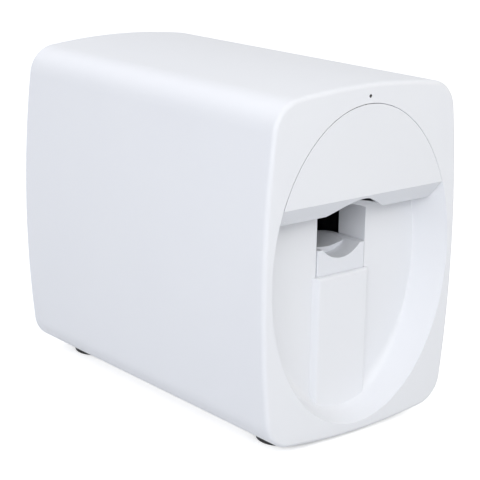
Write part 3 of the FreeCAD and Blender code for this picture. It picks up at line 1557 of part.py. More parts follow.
def main_board():
    board = new_body("main_board_body")
    sketch = plan(board, "main_board_plan", "XY_Plane",
                  ("0", "(board_front + board_rear) / 2", "board_height"))
    rectangle(sketch, "2 * board_half", "board_rear - board_front")
    block = pad(board, sketch, "board_thickness")
    bevel = chamfer_along(board, block, Vector(0, 0, 1), "board_corner")
    doc.recompute()
    holes = plan(board, "main_board_holes", "XY_Plane",
                 ("0", "(board_front + board_rear) / 2", "board_height"))
    for side in (-1, 1):
        for end in (-1, 1):
            circle(holes, "screw_radius", "board_half - board_post_inset",
                   "(board_rear - board_front) / 2 - board_post_inset", (side, end))
    pocket_through(board, holes)
    finish("main_board", board)


def board_components():
    """Chips, capacitor cans and plugs on the main board."""
    top = size.board_height + size.board_thickness
    middle = (size.board_front + size.board_rear) / 2
    edge = size.board_half - size.board_post_inset - size.chip_size / 2

    def block(x, y, width, depth, rise):
        return slab(x - width / 2, x + width / 2, y - depth / 2, y + depth / 2, top, top + rise)

    chip, processor, can = size.chip_size, size.processor_size, size.can_radius
    things = [
        block(-edge, middle - 1.5 * chip, chip, chip, size.chip_rise),
        block(-edge, middle + chip, chip, 0.7 * chip, size.chip_rise),
        block(edge, middle - processor, processor, processor, size.processor_rise),
    ]
    for x, y in ((edge, middle + chip), (edge, middle + 2 * chip), (edge - 2.5 * can, middle + 2 * chip)):
        things.append(bar(can, size.can_height, (x, y, top), UP))
    for column in (-1, 0, 1):
        things.append(block(column * size.plug_pitch, size.board_front + size.plug_depth,
                            size.plug_width, size.plug_depth, size.plug_depth))
    things.append(block(0, size.board_rear - size.plug_depth, 1.5 * size.plug_width, size.plug_depth,
                        size.plug_depth))
    finish("board_components", shaped("component_shapes", Part.Compound(things)))


def heat_sink():
    sink = new_body("heat_sink_body")
    y, z = "(board_front + board_rear) / 2", "board_height + board_thickness"
    plate = plan(sink, "heat_sink_plan", "XY_Plane", ("0", y, z))
    rectangle(plate, "sink_size", "sink_size")
    pad(sink, plate, "sink_plate")
    fin = plan(sink, "heat_sink_fin", "XY_Plane", ("-(sink_size - fin_thickness) / 2", y, z))
    rectangle(fin, "fin_thickness", "sink_size")
    first_fin = pad(sink, fin, "sink_height")
    rows = sink.newObject("PartDesign::LinearPattern", "heat_sink_fins")
    rows.Originals = [first_fin]
    rows.Direction = (fin, ["H_Axis"])
    bind(rows, "Length", "sink_size - fin_thickness")
    rows.Occurrences = FINS
    sink.Tip = rows
    finish("heat_sink", sink)


def rear_ports():
    inner = "body_depth - panel_thickness"
    board_back = "io_board_y + board_thickness"
    board = wide_box("io_board_block", "io_board_half", "io_board_y", "board_thickness",
                     "io_board_low", "io_board_height")
    board_holes = [
        cylinder(f"io_board_hole_{side + 1}", "y",
                 (f"{side} * (io_board_half - board_post_inset)", "io_board_y - 1",
                  "io_board_low + io_board_height / 2"), "screw_radius", "board_thickness + 2")
        for side in (-1, 1)
    ]
    finish("io_board", cut("io_board_cut", board, *board_holes))

    jack_case = box("jack_case", ("jack_x - jack_case_half", board_back, "port_height - jack_radius"),
                    ("2 * jack_case_half", f"{inner} - ({board_back})", "2 * jack_radius"))
    jack_ring = cylinder("jack_ring", "y", ("jack_x", f"{inner} - 1", "port_height"),
                         "jack_radius", "panel_thickness + 1")
    jack_hole = cylinder("jack_hole", "y", ("jack_x", "body_depth - jack_depth", "port_height"),
                         "jack_bore", "jack_depth + 1")
    jack_pin = cylinder("jack_pin_bar", "y", ("jack_x", "body_depth - jack_depth - 1", "port_height"),
                        "jack_pin", "jack_depth")
    jack = cut("jack", fuse("jack_solid", jack_case, jack_ring), jack_hole)
    finish("dc_inlet", fuse("jack_set", jack, jack_pin))

    shell = box("usb_shell", ("usb_x - usb_width / 2", board_back, "port_height - usb_thickness / 2"),
                ("usb_width", f"body_depth - ({board_back})", "usb_thickness"))
    room = box("usb_room", ("usb_x - usb_width / 2 + usb_wall", "body_depth - usb_reach",
                            "port_height - usb_thickness / 2 + usb_wall"),
               ("usb_width - 2 * usb_wall", "usb_reach + 1", "usb_thickness - 2 * usb_wall"))
    tongue = box("usb_tongue_bar", ("usb_x - usb_tongue_half", "body_depth - usb_reach - 1",
                                    "port_height - usb_tongue / 2"),
                 ("2 * usb_tongue_half", "usb_reach", "usb_tongue"))
    finish("usb_port", fuse("usb_set", cut("usb", shell, room), tongue))

    switch = box("switch_block", ("button_x - switch_size / 2", board_back,
                                  "port_height - switch_size / 2"),
                 ("switch_size", "switch_height", "switch_size"))
    stem_end = f"{inner} - button_flange_thickness - running_gap - button_travel"
    plunger_end = f"{stem_end} - button_travel - running_gap"
    plunger = cylinder("switch_plunger", "y", ("button_x", board_back, "port_height"),
                       "plunger_radius", f"{plunger_end} - ({board_back})")
    finish("power_switch", fuse("switch", switch, plunger))
    cap = cylinder("button_cap", "y", ("button_x", f"{inner} - running_gap", "port_height"),
                   "button_radius", "panel_thickness + running_gap")
    flange = cylinder("button_flange_disc", "y",
                      ("button_x", f"{inner} - running_gap - button_flange_thickness", "port_height"),
                      "button_flange", "button_flange_thickness")
    stem = cylinder("button_stem_bar", "y", ("button_x", stem_end, "port_height"),
                    "button_stem", "2 * button_travel + running_gap")
    finish("power_button", fuse("button", cap, flange, stem))


def lamp_board():
    half = size.lamp_half
    middle = size.lamp_y + size.lamp_depth / 2
    board = slab(-half, half, size.lamp_y, size.lamp_y + size.lamp_depth,
                 size.lamp_z, size.lamp_z + size.board_thickness)
    reach = size.lamp_size / 2
    span = half - 2 * size.lamp_post - size.screw_head
    lamps = []
    for number in range(LAMPS):
        x = span * (2 * number / (LAMPS - 1) - 1)
        lamps.append(slab(x - reach, x + reach, middle - reach, middle + reach,
                          size.lamp_z - size.lamp_rise, size.lamp_z))
    status_low = size.lamp_z + (size.board_thickness - size.status_lamp_rise) / 2
    lamps.append(slab(-size.status_lamp / 2, size.status_lamp / 2, size.pipe_length + size.running_gap,
                      size.lamp_y, status_low, status_low + size.status_lamp_rise))
    holes = []
    for side in (-1, 1):
        x, y, z = lamp_post_place(side)
        holes.append(bar(size.screw_radius, size.board_thickness + 2,
                         (x, y, z - size.board_thickness - 1), UP))
    finish("lamp_board", shaped("lamp_shape", board.fuse(lamps).cut(holes)))


def fan_frame():
    front = "body_depth - panel_thickness - running_gap - fan_depth"
    frame = new_body("fan_frame_body")
    square = plan(frame, "fan_square", "XZ_Plane", ("0", front, "fan_z"))
    rectangle(square, "fan_size", "fan_size")
    block = pad(frame, square, "fan_depth")
    chamfer_along(frame, block, Vector(0, 1, 0), "motor_corner")
    bore = plan(frame, "fan_bore_ring", "XZ_Plane", ("0", front, "fan_z"))
    circle(bore, "fan_bore")
    pocket_through(frame, bore)
    hub = plan(frame, "fan_hub_ring", "XZ_Plane", ("0", front, "fan_z"))
    circle(hub, "fan_hub")
    pad(frame, hub, "fan_spider")
    for name, width, height in (("level", "2 * fan_bore + 1", "fan_arm"),
                                ("upright", "fan_arm", "2 * fan_bore + 1")):
        arm = plan(frame, f"fan_arm_{name}", "XZ_Plane", ("0", front, "fan_z"))
        rectangle(arm, width, height)
        pad(frame, arm, "fan_spider")
    axle = plan(frame, "fan_axle", "XZ_Plane", ("0", front, "fan_z"))
    circle(axle, "axle_radius")
    pad(frame, axle, "fan_depth / 2")
    finish("fan_frame", frame)


def fan_rotor():
    """A hub with slanted blades, turning on the frame's axle."""
    start = size.body_depth - size.panel_thickness - size.running_gap - size.fan_depth
    start += size.fan_spider + size.running_gap
    depth = size.fan_depth - size.fan_spider - 2 * size.running_gap
    hub_bar = bar(size.fan_hub, depth, (0, start, size.fan_z), BACK)
    blades = []
    reach = size.fan_rotor_radius
    for number in range(BLADES):
        blade = slab(size.fan_hub - 1, reach, 0, depth, -size.blade_thickness / 2, size.blade_thickness / 2)
        blade.rotate(Vector(0, depth / 2, 0), Vector(1, 0, 0), size.blade_angle)
        blade = blade.common(slab(0, 2 * reach, 0, depth, -reach, reach))
        blade.translate(Vector(0, start, size.fan_z))
        blade.rotate(Vector(0, 0, size.fan_z), Vector(0, 1, 0), 360 * number / BLADES)
        blades.append(blade)
    rim = bar(reach, depth, (0, start, size.fan_z), BACK)
    rotor = hub_bar.fuse(blades).common(rim)
    well = bar(size.axle_radius + size.slip, size.fan_depth / 2,
               (0, start - 1, size.fan_z), BACK)
    finish("fan_rotor", shaped("rotor_shape", rotor.cut(well).removeSplitter()))


# ---------------------------------------------------------------- build and export


def build():
    housing_shell()
    base_plate()
    feet()
    front_panel()
    front_cover()
    status_light_pipe()
    rear_panel()
    case_screws()
    base_screws()
    board_screws()
    finger_cradle()
    finger_plate()
    lift_bracket()
    lift_tower()
    motor("lift_motor", "z", ("0", "lift_axis", "tower_low - lift_motor_length"), "lift_motor_length")
    chassis("chassis_left", -1)
    chassis("chassis_right", 1)
    cross_brace()
    y_drive()
    gantry()
    x_drive()
    print_carriage()
    ink_cartridge()
    cartridge_latch()
    camera()
    service_station()
    main_board()
    board_components()
    heat_sink()
    rear_ports()
    lamp_board()
    fan_frame()
    fan_rotor()
    doc.recompute()


def check():
    """Stop on a failed feature or a broken solid."""
    for obj in doc.Objects:
        if any(word in obj.State for word in ("Invalid", "Error")):
            raise RuntimeError(f"{obj.Label} failed: {obj.State}")
    for piece in pieces:
        if piece.Shape.isNull() or not piece.Shape.isValid() or not piece.Shape.Solids:
            raise RuntimeError(f"{piece.Label} has no sound solid")


def export():
    os.makedirs("parts", exist_ok=True)
    for piece in pieces:
        piece.Shape.exportStep(os.path.join("parts", f"{piece.Label}.step"))
        bounds = piece.Shape.BoundBox
        print(f"{piece.Label:20s} {len(piece.Shape.Solids):2d} solid(s)"
              f"  x {bounds.XMin:7.1f} {bounds.XMax:7.1f}  y {bounds.YMin:7.1f} {bounds.YMax:7.1f}"
              f"  z {bounds.ZMin:7.1f} {bounds.ZMax:7.1f}")
    print(len(pieces), "pieces")


build()
check()
export()
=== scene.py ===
# %% [markdown]
# # A desktop nail printer
#
# This machine prints artwork on one fingernail at a time. Its white casing is a deep sleeve with a
# crowned top and softly bowed sides. The front carries an oval recess with a finger slot in it.
#
# The solid model gives every rigid form and its exact place, so this lesson is about finish:
# how injection-moulded ABS, rubber, sheet steel and glass catch light, and about the small pieces
# that a solid model leaves out.

# %% Load the fixed frame
import math

import bmesh
import bpy
from mathutils import Matrix, Vector


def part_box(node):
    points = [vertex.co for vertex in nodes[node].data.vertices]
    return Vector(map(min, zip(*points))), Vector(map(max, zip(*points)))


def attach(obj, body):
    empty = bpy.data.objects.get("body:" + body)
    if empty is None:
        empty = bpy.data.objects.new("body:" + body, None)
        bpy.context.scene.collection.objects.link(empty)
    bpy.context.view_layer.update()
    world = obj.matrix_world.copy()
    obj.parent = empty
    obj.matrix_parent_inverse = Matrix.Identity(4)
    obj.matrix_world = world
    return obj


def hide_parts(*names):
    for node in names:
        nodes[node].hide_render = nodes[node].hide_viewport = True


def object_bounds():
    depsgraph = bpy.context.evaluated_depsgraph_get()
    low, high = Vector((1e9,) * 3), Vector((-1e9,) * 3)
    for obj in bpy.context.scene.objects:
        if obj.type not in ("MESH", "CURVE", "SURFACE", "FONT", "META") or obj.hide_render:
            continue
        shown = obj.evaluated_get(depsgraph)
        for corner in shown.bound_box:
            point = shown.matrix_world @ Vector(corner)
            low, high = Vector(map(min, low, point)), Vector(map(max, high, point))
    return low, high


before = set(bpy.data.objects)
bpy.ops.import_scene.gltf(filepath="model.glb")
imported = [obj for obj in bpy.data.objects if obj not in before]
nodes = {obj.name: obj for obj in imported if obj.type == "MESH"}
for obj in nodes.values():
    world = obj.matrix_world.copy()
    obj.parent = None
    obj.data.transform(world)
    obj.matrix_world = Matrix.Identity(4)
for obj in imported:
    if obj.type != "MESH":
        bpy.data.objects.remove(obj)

cad_low, cad_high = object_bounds()
print("nodes:", len(nodes), "size in metres:", [round(v, 4) for v in cad_high - cad_low])

# %% [markdown]
# ## Helpers for colour and nodes
#
# Hex colours are written in sRGB, the space of a colour picker, while shaders work in linear light.
# One function converts them. A second one adds a shader node with its settings and its links, so
# that each material below reads like a short recipe.

# %% Colour and node helpers
MM = 0.001


def linear(hex_colour):
    """A #RRGGBB colour as linear RGBA."""
    channels = [int(hex_colour[i:i + 2], 16) / 255 for i in (1, 3, 5)]
    return tuple(c / 12.92 if c <= 0.04045 else ((c + 0.055) / 1.055) ** 2.4 for c in channels) + (1.0,)


def add(tree, kind, inputs=None, **settings):
    """Add one node: settings are its properties, inputs are values or sockets to link."""
    made = tree.nodes.new(kind)
    for name, value in settings.items():
        setattr(made, name, value)
    for name, value in (inputs or {}).items():
        if isinstance(value, bpy.types.NodeSocket):
            tree.links.new(value, made.inputs[name])
        else:
            made.inputs[name].default_value = value
    return made


def new_material(name):
    """An empty material, cleared of all its nodes, ready for new ones."""
    material = bpy.data.materials.new(name)
    material.use_nodes = True
    material.node_tree.nodes.clear()
    return material, material.node_tree


def finish_surface(tree, shader):
    """Link a shader to the material's output."""
    add(tree, "ShaderNodeOutputMaterial", {"Surface": shader.outputs[0]})


print("ABS white in linear light:", [round(c, 3) for c in linear("#EEF0F4")[:3]])

# %% [markdown]
# ## Moulded ABS
#
# ABS is the usual plastic of white appliances. It is injected into a spark-eroded steel mould, which
# leaves a very fine leathery texture, so the highlight is broad and soft. The real grain is about
# 0.1 mm. That is too fine to show here, so it is drawn at 0.7 mm with very little height.
# Slow waves of a few centimetres stand for the slight sink of a large moulding.

# %% Moulded ABS
SINK_WAVE = 60 * MM
PLASTIC_IOR = 1.54
GLOSS_SPREAD = 0.03


def moulded_plastic(name, light, shade, roughness, grain=0.7, depth=0.004, coat=0.0):
    """Moulded thermoplastic: two near colours, a fine grain and a gentle large-scale wave."""
    material, tree = new_material(name)
    place = add(tree, "ShaderNodeTexCoord")
    clouds = add(tree, "ShaderNodeTexNoise", {
        "Vector": place.outputs["Object"], "Scale": 1 / SINK_WAVE, "Detail": 2.0})
    colour = add(tree, "ShaderNodeMix", {
        "Factor": clouds.outputs["Fac"], "A": linear(light), "B": linear(shade)}, data_type="RGBA")
    fine = add(tree, "ShaderNodeTexNoise", {
        "Vector": place.outputs["Object"], "Scale": 1 / (grain * MM), "Detail": 3.0})
    gloss = add(tree, "ShaderNodeMapRange", {
        "Value": fine.outputs["Fac"],
        "To Min": roughness - GLOSS_SPREAD, "To Max": roughness + GLOSS_SPREAD})
    bump = add(tree, "ShaderNodeBump", {
        "Height": fine.outputs["Fac"], "Strength": 0.25, "Distance": depth * MM})
    shader = add(tree, "ShaderNodeBsdfPrincipled", {
        "Base Color": colour.outputs["Result"], "Roughness": gloss.outputs["Result"],
        "IOR": PLASTIC_IOR, "Normal": bump.outputs["Normal"], "Coat Weight": coat})
    finish_surface(tree, shader)
    return material


# Satin white: the spark-eroded mould gives the casing one broad, soft highlight.
casing_abs = moulded_plastic("satin_moulded_ABS", "#EFF1F5", "#ECEEF3", 0.42)
# The cover's mould is polished, so its highlight is tighter and brighter than the casing's.
cover_abs = moulded_plastic("polished_moulded_ABS", "#EDEFF3", "#EAECF1", 0.26, grain=1.2, depth=0.002)
# The finger rest is a shade greyer than the casing and a little smoother to the touch.
rest_abs = moulded_plastic("finger_rest_ABS", "#E9EBF0", "#E5E8EE", 0.36)
# Carbon black takes nearly all the light, and a coarser mould leaves a matt skin.
black_abs = moulded_plastic("black_moulded_ABS", "#17181A", "#1E1F22", 0.5, depth=0.01)
# Acetal is milky and slightly waxy.
acetal = moulded_plastic("acetal", "#DEDCD2", "#D6D3C8", 0.35)
# Smoked polycarbonate is nearly black while its lamp is off, with a glassy face.
smoked = moulded_plastic("smoked_polycarbonate", "#0C0D0F", "#121316", 0.12, coat=0.3)
print("plastics:", [m.name for m in (casing_abs, cover_abs, rest_abs, black_abs, acetal, smoked)])

# %% [markdown]
# ## Rubber and felt
#
# Rubber is matt and holds a little pale dust, and felt is matted wool, so both scatter light widely
# and glow faintly at their edges. A flat dark colour would look like a hole, so two near colours
# are mottled together. The size of the mottling is given in millimetres for each.

# %% Rubber and felt
RUBBER_IOR = 1.52


def soft_material(name, dark, dusty, roughness, grain):
    """Rubber or felt: matt, with a dusty mottling and a soft sheen."""
    material, tree = new_material(name)
    place = add(tree, "ShaderNodeTexCoord")
    dust = add(tree, "ShaderNodeTexNoise", {
        "Vector": place.outputs["Object"], "Scale": 1 / (grain * MM), "Detail": 6.0, "Roughness": 0.7})
    colour = add(tree, "ShaderNodeMix", {
        "Factor": dust.outputs["Fac"], "A": linear(dark), "B": linear(dusty)}, data_type="RGBA")
    bump = add(tree, "ShaderNodeBump", {
        "Height": dust.outputs["Fac"], "Strength": 0.4, "Distance": 0.05 * MM})
    shader = add(tree, "ShaderNodeBsdfPrincipled", {
        "Base Color": colour.outputs["Result"], "Roughness": roughness, "IOR": RUBBER_IOR,
        "Normal": bump.outputs["Normal"], "Sheen Weight": 0.1})
    finish_surface(tree, shader)
    return material


# The feet's rubber is nearly black and the most matt of the three.
foot_rubber = soft_material("moulded_rubber", "#1B1B1D", "#2A2A2C", 0.8, 2.0)
# Belt rubber is ground to size, which leaves it an even dark grey.
belt_rubber = soft_material("belt_rubber", "#202123", "#2B2C2F", 0.7, 1.0)
# Silicone is paler and a little smoother than the other two.
seal_rubber = soft_material("silicone_rubber", "#2E2F33", "#3A3B40", 0.6, 1.5)
# Undyed felt is cream and has no gloss at all.
felt = soft_material("felt", "#DAD7CC", "#C9C5B8", 0.95, 0.8)
print("soft materials:", foot_rubber.name, seal_rubber.name, felt.name)

# %% [markdown]
# ## Metals
#
# Rolled or ground metal carries fine scratches that all run one way, and they stretch a highlight
# across them. A noise that is drawn out forty times along one axis gives such lines. The scratches
# round a turned rod are too fine to tell apart here, so rods share this recipe with sheets.

# %% Metals
SCRATCH_STRETCH = 40
METAL_GLOSS_SPREAD = 0.08


def metal(name, colour, roughness, scratch, direction):
    """Rolled or ground metal whose fine scratches run along one axis."""
    material, tree = new_material(name)
    place = add(tree, "ShaderNodeTexCoord")
    stretch = [1 / (scratch * MM)] * 3
    stretch["xyz".index(direction)] /= SCRATCH_STRETCH
    lines = add(tree, "ShaderNodeMapping", {"Vector": place.outputs["Object"], "Scale": stretch})
    scratches = add(tree, "ShaderNodeTexNoise", {
        "Vector": lines.outputs["Vector"], "Scale": 1.0, "Detail": 3.0})
    gloss = add(tree, "ShaderNodeMapRange", {
        "Value": scratches.outputs["Fac"],
        "To Min": roughness - METAL_GLOSS_SPREAD, "To Max": roughness + METAL_GLOSS_SPREAD})
    bump = add(tree, "ShaderNodeBump", {
        "Height": scratches.outputs["Fac"], "Strength": 0.2, "Distance": 0.01 * MM})
    shader = add(tree, "ShaderNodeBsdfPrincipled", {
        "Base Color": linear(colour), "Metallic": 1.0, "Roughness": gloss.outputs["Result"],
        "Normal": bump.outputs["Normal"]})
    finish_surface(tree, shader)
    return material


# Zinc plating dulls steel sheet to a soft grey.
zinc_sheet = metal("zinc_plated_steel", "#B9BCC0", 0.38, 0.4, "y")
# A ground rod is bright, because its bushes have to slide on it.
ground_steel = metal("ground_steel", "#C9CBCE", 0.22, 0.3, "y")
# Black oxide leaves screws dark, with a dull metal glint.
screw_steel = metal("black_oxide_steel", "#4A4C50", 0.4, 0.4, "z")
# Nickel plating is faintly warm and fairly bright.
port_steel = metal("nickel_plated_steel", "#C4C3BE", 0.25, 0.5, "y")
# Turned brass is yellow and half bright.
brass = metal("turned_brass", "#CDA75C", 0.3, 0.3, "y")
# Clear anodising gives aluminium a pale and even satin.
aluminium = metal("anodised_aluminium", "#C2C4C7", 0.35, 0.4, "y")
print("metals:", [m.name for m in (zinc_sheet, ground_steel, screw_steel, port_steel, brass, aluminium)])

# %% [markdown]
# ## Motor paint, boards and lens glass
#
# These cover small pieces inside the casing. Paint, chip resin and solder mask are all thin smooth
# skins, so the recipe for moulded plastic serves them, with a clear coat for the lacquer of the
# boards. Coated glass is a dark mirror from outside, so it needs only a deep colour and high gloss.

# %% Motor paint, solder mask and lens glass
GLASS_IOR = 1.52
# Motor paint is sprayed on, so it is smoother than the resin of the chips.
motor_paint = moulded_plastic("black_motor_paint", "#1C1D20", "#232428", 0.45)
chip_resin = moulded_plastic("chip_resin", "#1A1B1D", "#222326", 0.55)
# Solder mask is a tinted lacquer: green on the main boards, white round the lamps.
solder_mask = moulded_plastic("green_solder_mask", "#14532F", "#0F4527", 0.3, coat=0.4)
white_mask = moulded_plastic("white_solder_mask", "#E6E8EA", "#DEE1E4", 0.3, coat=0.3)

lens_glass, tree = new_material("coated_lens_glass")
finish_surface(tree, add(tree, "ShaderNodeBsdfPrincipled", {
    "Base Color": linear("#141823"), "Roughness": 0.05, "IOR": GLASS_IOR, "Coat Weight": 0.6}))
print("others:", motor_paint.name, chip_resin.name, solder_mask.name, lens_glass.name)

# %% [markdown]
# ## Dressing the solid model
#
# Each rigid node keeps its own mesh and only takes a finish. The table below names the node groups.
# Curved faces are shaded smooth and true edges stay sharp, which the smooth-by-angle tool decides
# from the angle between neighbouring faces.

# %% Give every node its finish
FINISHES = {
    casing_abs: ["housing_shell", "base_plate", "front_panel", "rear_panel", "power_button"],
    cover_abs: ["front_cover"],
    rest_abs: ["finger_cradle", "finger_plate"],
    smoked: ["status_light_pipe"],
    foot_rubber: ["foot_front_left", "foot_front_right", "foot_rear_left", "foot_rear_right"],
    belt_rubber: ["drive_belt"],
    seal_rubber: ["nozzle_cap", "wiper_blade"],
    felt: ["waste_pad"],
    black_abs: ["lift_bracket", "print_carriage", "cartridge_latch", "camera_housing", "service_tray",
                "fan_frame", "fan_rotor", "gantry_frame", "power_switch", "ink_cartridge", "dc_inlet"],
    acetal: ["gantry_bush_left", "gantry_bush_right", "drive_pulley", "idler_pulley"],
    brass: ["drive_nut"],
    zinc_sheet: ["chassis_left", "chassis_right", "cross_brace", "lift_tower"],
    ground_steel: ["y_rod_left", "y_rod_right", "x_rod_lower", "x_rod_upper", "lift_rod_left",
                   "lift_rod_right", "y_screw", "lift_screw"],
    screw_steel: ["case_screws", "base_screws", "board_screws"],
    port_steel: ["usb_port", "cover_magnets", "panel_magnets"],
    motor_paint: ["y_motor", "x_motor", "lift_motor"],
    chip_resin: ["board_components"],
    solder_mask: ["main_board", "io_board"],
    white_mask: ["lamp_board"],
    aluminium: ["heat_sink"],
    lens_glass: ["camera_lens"],
}


EDGE_ANGLE = math.radians(28)


def smooth_curves(mesh):
    """Shade curved faces smooth, and keep edges sharp where faces turn by more than EDGE_ANGLE."""
    for polygon in mesh.polygons:
        polygon.use_smooth = True
    mesh.set_sharp_from_angle(angle=EDGE_ANGLE)


def dress(node, material):
    """Put one material on a CAD node and shade its curved faces smooth."""
    node.data.materials.clear()
    node.data.materials.append(material)
    smooth_curves(node.data)


dressed = []
for finish, names in FINISHES.items():
    for name in names:
        dress(nodes[name], finish)
        dressed.append(name)
print("dressed nodes:", len(dressed), "left over:", sorted(set(nodes) - set(dressed)))

# %% [markdown]
# ## Small pieces that the solid model leaves plain
#
# A solid model treats a lead screw as a bar and a motor as a block, because that is enough for fit
# and motion. The next cells give those pieces their real surface. A piece that stands for a node
# takes its place from that node's box, so it can't drift away from the model. Most of them are
# drawn as a skin over rings of points, which suits whatever is turned, rolled or stacked.

# %% Making a piece


def piece_from(name, mesh, materials, body, slot, *stands_for):
    """Make a mesh into a piece that rides on a body and may stand for CAD nodes."""
    piece = bpy.data.objects.new(name, mesh)
    bpy.context.scene.collection.objects.link(piece)
    for material in materials:
        mesh.materials.append(material)
    smooth_curves(mesh)
    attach(piece, body)
    if stands_for:
        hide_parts(*stands_for)
    return piece


print("shapes are shaded smooth up to", round(math.degrees(EDGE_ANGLE)), "degrees")

# %% Drawing skins of rings


def aim(axis, place):
    """The matrix that takes a piece drawn along +Z to a place, with +Z turned along an axis."""
    turn = Vector((0, 0, 1)).rotation_difference(Vector(axis)).to_matrix().to_4x4()
    return Matrix.Translation(place) @ turn


def ring_skin(mesh, rings, matrix, material=0, closed=True):
    """Join rings of equal length into a skin, and cap its two ends if it is closed."""
    rows = [[mesh.verts.new(matrix @ Vector(point)) for point in ring] for ring in rings]
    count = len(rows[0])
    for low, high in zip(rows, rows[1:]):
        for i in range(count):
            j = (i + 1) % count
            mesh.faces.new((low[i], low[j], high[j], high[i])).material_index = material
    if closed:
        mesh.faces.new(rows[0][::-1]).material_index = material
        mesh.faces.new(rows[-1]).material_index = material


def circle_points(radius, height, steps):
    """Points of a level circle round the Z axis."""
    turns = [2 * math.pi * i / steps for i in range(steps)]
    return [(radius * math.cos(turn), radius * math.sin(turn), height) for turn in turns]


def lathe(mesh, profile, matrix, steps=48, material=0, closed=True):
    """Turn a profile of (radius, height) round the Z axis."""
    ring_skin(mesh, [circle_points(r, z, steps) for r, z in profile], matrix, material, closed)


def as_mesh(name, drawing):
    """Finish a bmesh drawing as mesh data with its faces pointing outward."""
    bmesh.ops.recalc_face_normals(drawing, faces=drawing.faces)
    mesh = bpy.data.meshes.new(name)
    drawing.to_mesh(mesh)
    drawing.free()
    return mesh


print("points in a circle of 48 steps:", len(circle_points(1 * MM, 0.0, 48)))

# %% [markdown]
# ## Rubber feet
#
# Each foot is a moulded rubber puck pushed into a seat of the base. A plain disc would slide on
# a table, so its underside has three rings of tread. A lathe profile is the natural way to
# draw a round moulding: the ridges touch the table and the grooves stay 0.8 mm above it.

# %% Feet with tread
TREAD_DEPTH = 0.8 * MM
TREAD_RINGS = 3
RIDGE_START = 0.45          # where a ridge begins, as a share of the ring's width
RIDGE_SLOPE = 0.3 * MM
RIM_ROUND = 1.0 * MM
RIM_STEPS = 4
AXIS_GAP = 0.2 * MM         # a turned profile stops just short of its axis


def foot_profile(radius, height):
    """From the middle of the underside, over the ridges and up the rounded rim."""
    pitch = (radius - 2 * RIM_ROUND) / TREAD_RINGS
    profile = [(AXIS_GAP, TREAD_DEPTH)]
    for ring in range(TREAD_RINGS):
        near = ring * pitch + RIDGE_START * pitch
        far = (ring + 1) * pitch
        profile += [(near - RIDGE_SLOPE, TREAD_DEPTH), (near, 0.0), (far - RIDGE_SLOPE, 0.0)]
        if ring < TREAD_RINGS - 1:
            profile.append((far, TREAD_DEPTH))
    for step in range(RIM_STEPS + 1):
        turn = math.pi / 2 * step / RIM_STEPS
        profile.append((radius - RIM_ROUND * (1 - math.sin(turn)), RIM_ROUND * (1 - math.cos(turn))))
    return profile + [(radius, height), (AXIS_GAP, height)]


def tread_foot(name):
    """A foot with its tread, in the place of a plain one."""
    low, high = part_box(name)
    underside = Vector(((low.x + high.x) / 2, (low.y + high.y) / 2, low.z))
    profile = foot_profile((high.x - low.x) / 2, high.z - low.z)
    drawing = bmesh.new()
    lathe(drawing, profile, Matrix.Translation(underside))
    return piece_from(name + "_tread", as_mesh(name, drawing), [foot_rubber], "casing", "foot_rubber",
                      name)


for corner in ("front_left", "front_right", "rear_left", "rear_right"):
    foot = tread_foot("foot_" + corner)
    print(foot.name, "faces:", len(foot.data.polygons))

# %% [markdown]
# ## Lead screws
#
# A trapezoidal lead screw is rolled from a ground bar. Its skin is a grid wrapped round the axis:
# at each point the radius depends on how far round and how far along it is, which gives a helix.
# The travel screw has four starts, so one turn moves the gantry 8 mm. The lift screw has one start
# and a left-hand thread with a lead of 2 mm.

# %% Threaded screws
THREAD_PITCH = 2.0 * MM
THREAD_DEPTH = 0.5 * MM
ROOT_START = 0.3125         # from the crest's middle to the root, as a share of the pitch
FLANK = 0.125               # how much of the pitch one sloping flank takes
SKIN_STEPS = 32             # points round the bar
ROWS_A_PITCH = 8            # rings of points along one pitch


def thread_height(phase):
    """Height of a trapezoidal thread from 0 at the root to 1 at the crest."""
    from_crest = abs(phase % 1.0 - 0.5)
    return min(max((ROOT_START - from_crest) / FLANK, 0.0), 1.0)


def thread_ring(radius, height, pitches_a_turn):
    """One ring of the skin of a bar whose thread climbs this many pitches in one turn."""
    ring = []
    for step in range(SKIN_STEPS):
        turn = 2 * math.pi * step / SKIN_STEPS
        phase = height / THREAD_PITCH - pitches_a_turn * step / SKIN_STEPS
        reach = radius - THREAD_DEPTH * (1 - thread_height(phase))
        ring.append((reach * math.cos(turn), reach * math.sin(turn), height))
    return ring


def lead_screw(name, axis, starts, hand, body):
    """A threaded bar in the place of a node's plain bar. A right-hand thread has a hand of 1."""
    low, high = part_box(name)
    middle = (low + high) / 2
    along = Vector(axis)
    length = abs((high - low).dot(along))
    radius = max((high - low)[i] / 2 for i in range(3) if not axis[i])
    rows = round(length / THREAD_PITCH * ROWS_A_PITCH)
    rings = [thread_ring(radius, length * row / rows, hand * starts) for row in range(rows + 1)]
    drawing = bmesh.new()
    ring_skin(drawing, rings, aim(axis, middle - along * length / 2))
    return piece_from(name + "_thread", as_mesh(name, drawing), [ground_steel], body, "ground_steel",
                      name)


for screw in (lead_screw("y_screw", (0, 1, 0), 4, 1, "travel_spindle"),
              lead_screw("lift_screw", (0, 0, 1), 1, -1, "lift_spindle")):
    print(screw.name, "faces:", len(screw.data.polygons))

# %% [markdown]
# ## Screw heads
#
# A socket head is a turned disc with a bevelled edge and a six-sided hole for a key. The disc could
# be cut with a boolean, but rings are cleaner: round ones run over the outside and in at the mouth
# of the socket, and six-sided ones with as many points run down its walls.

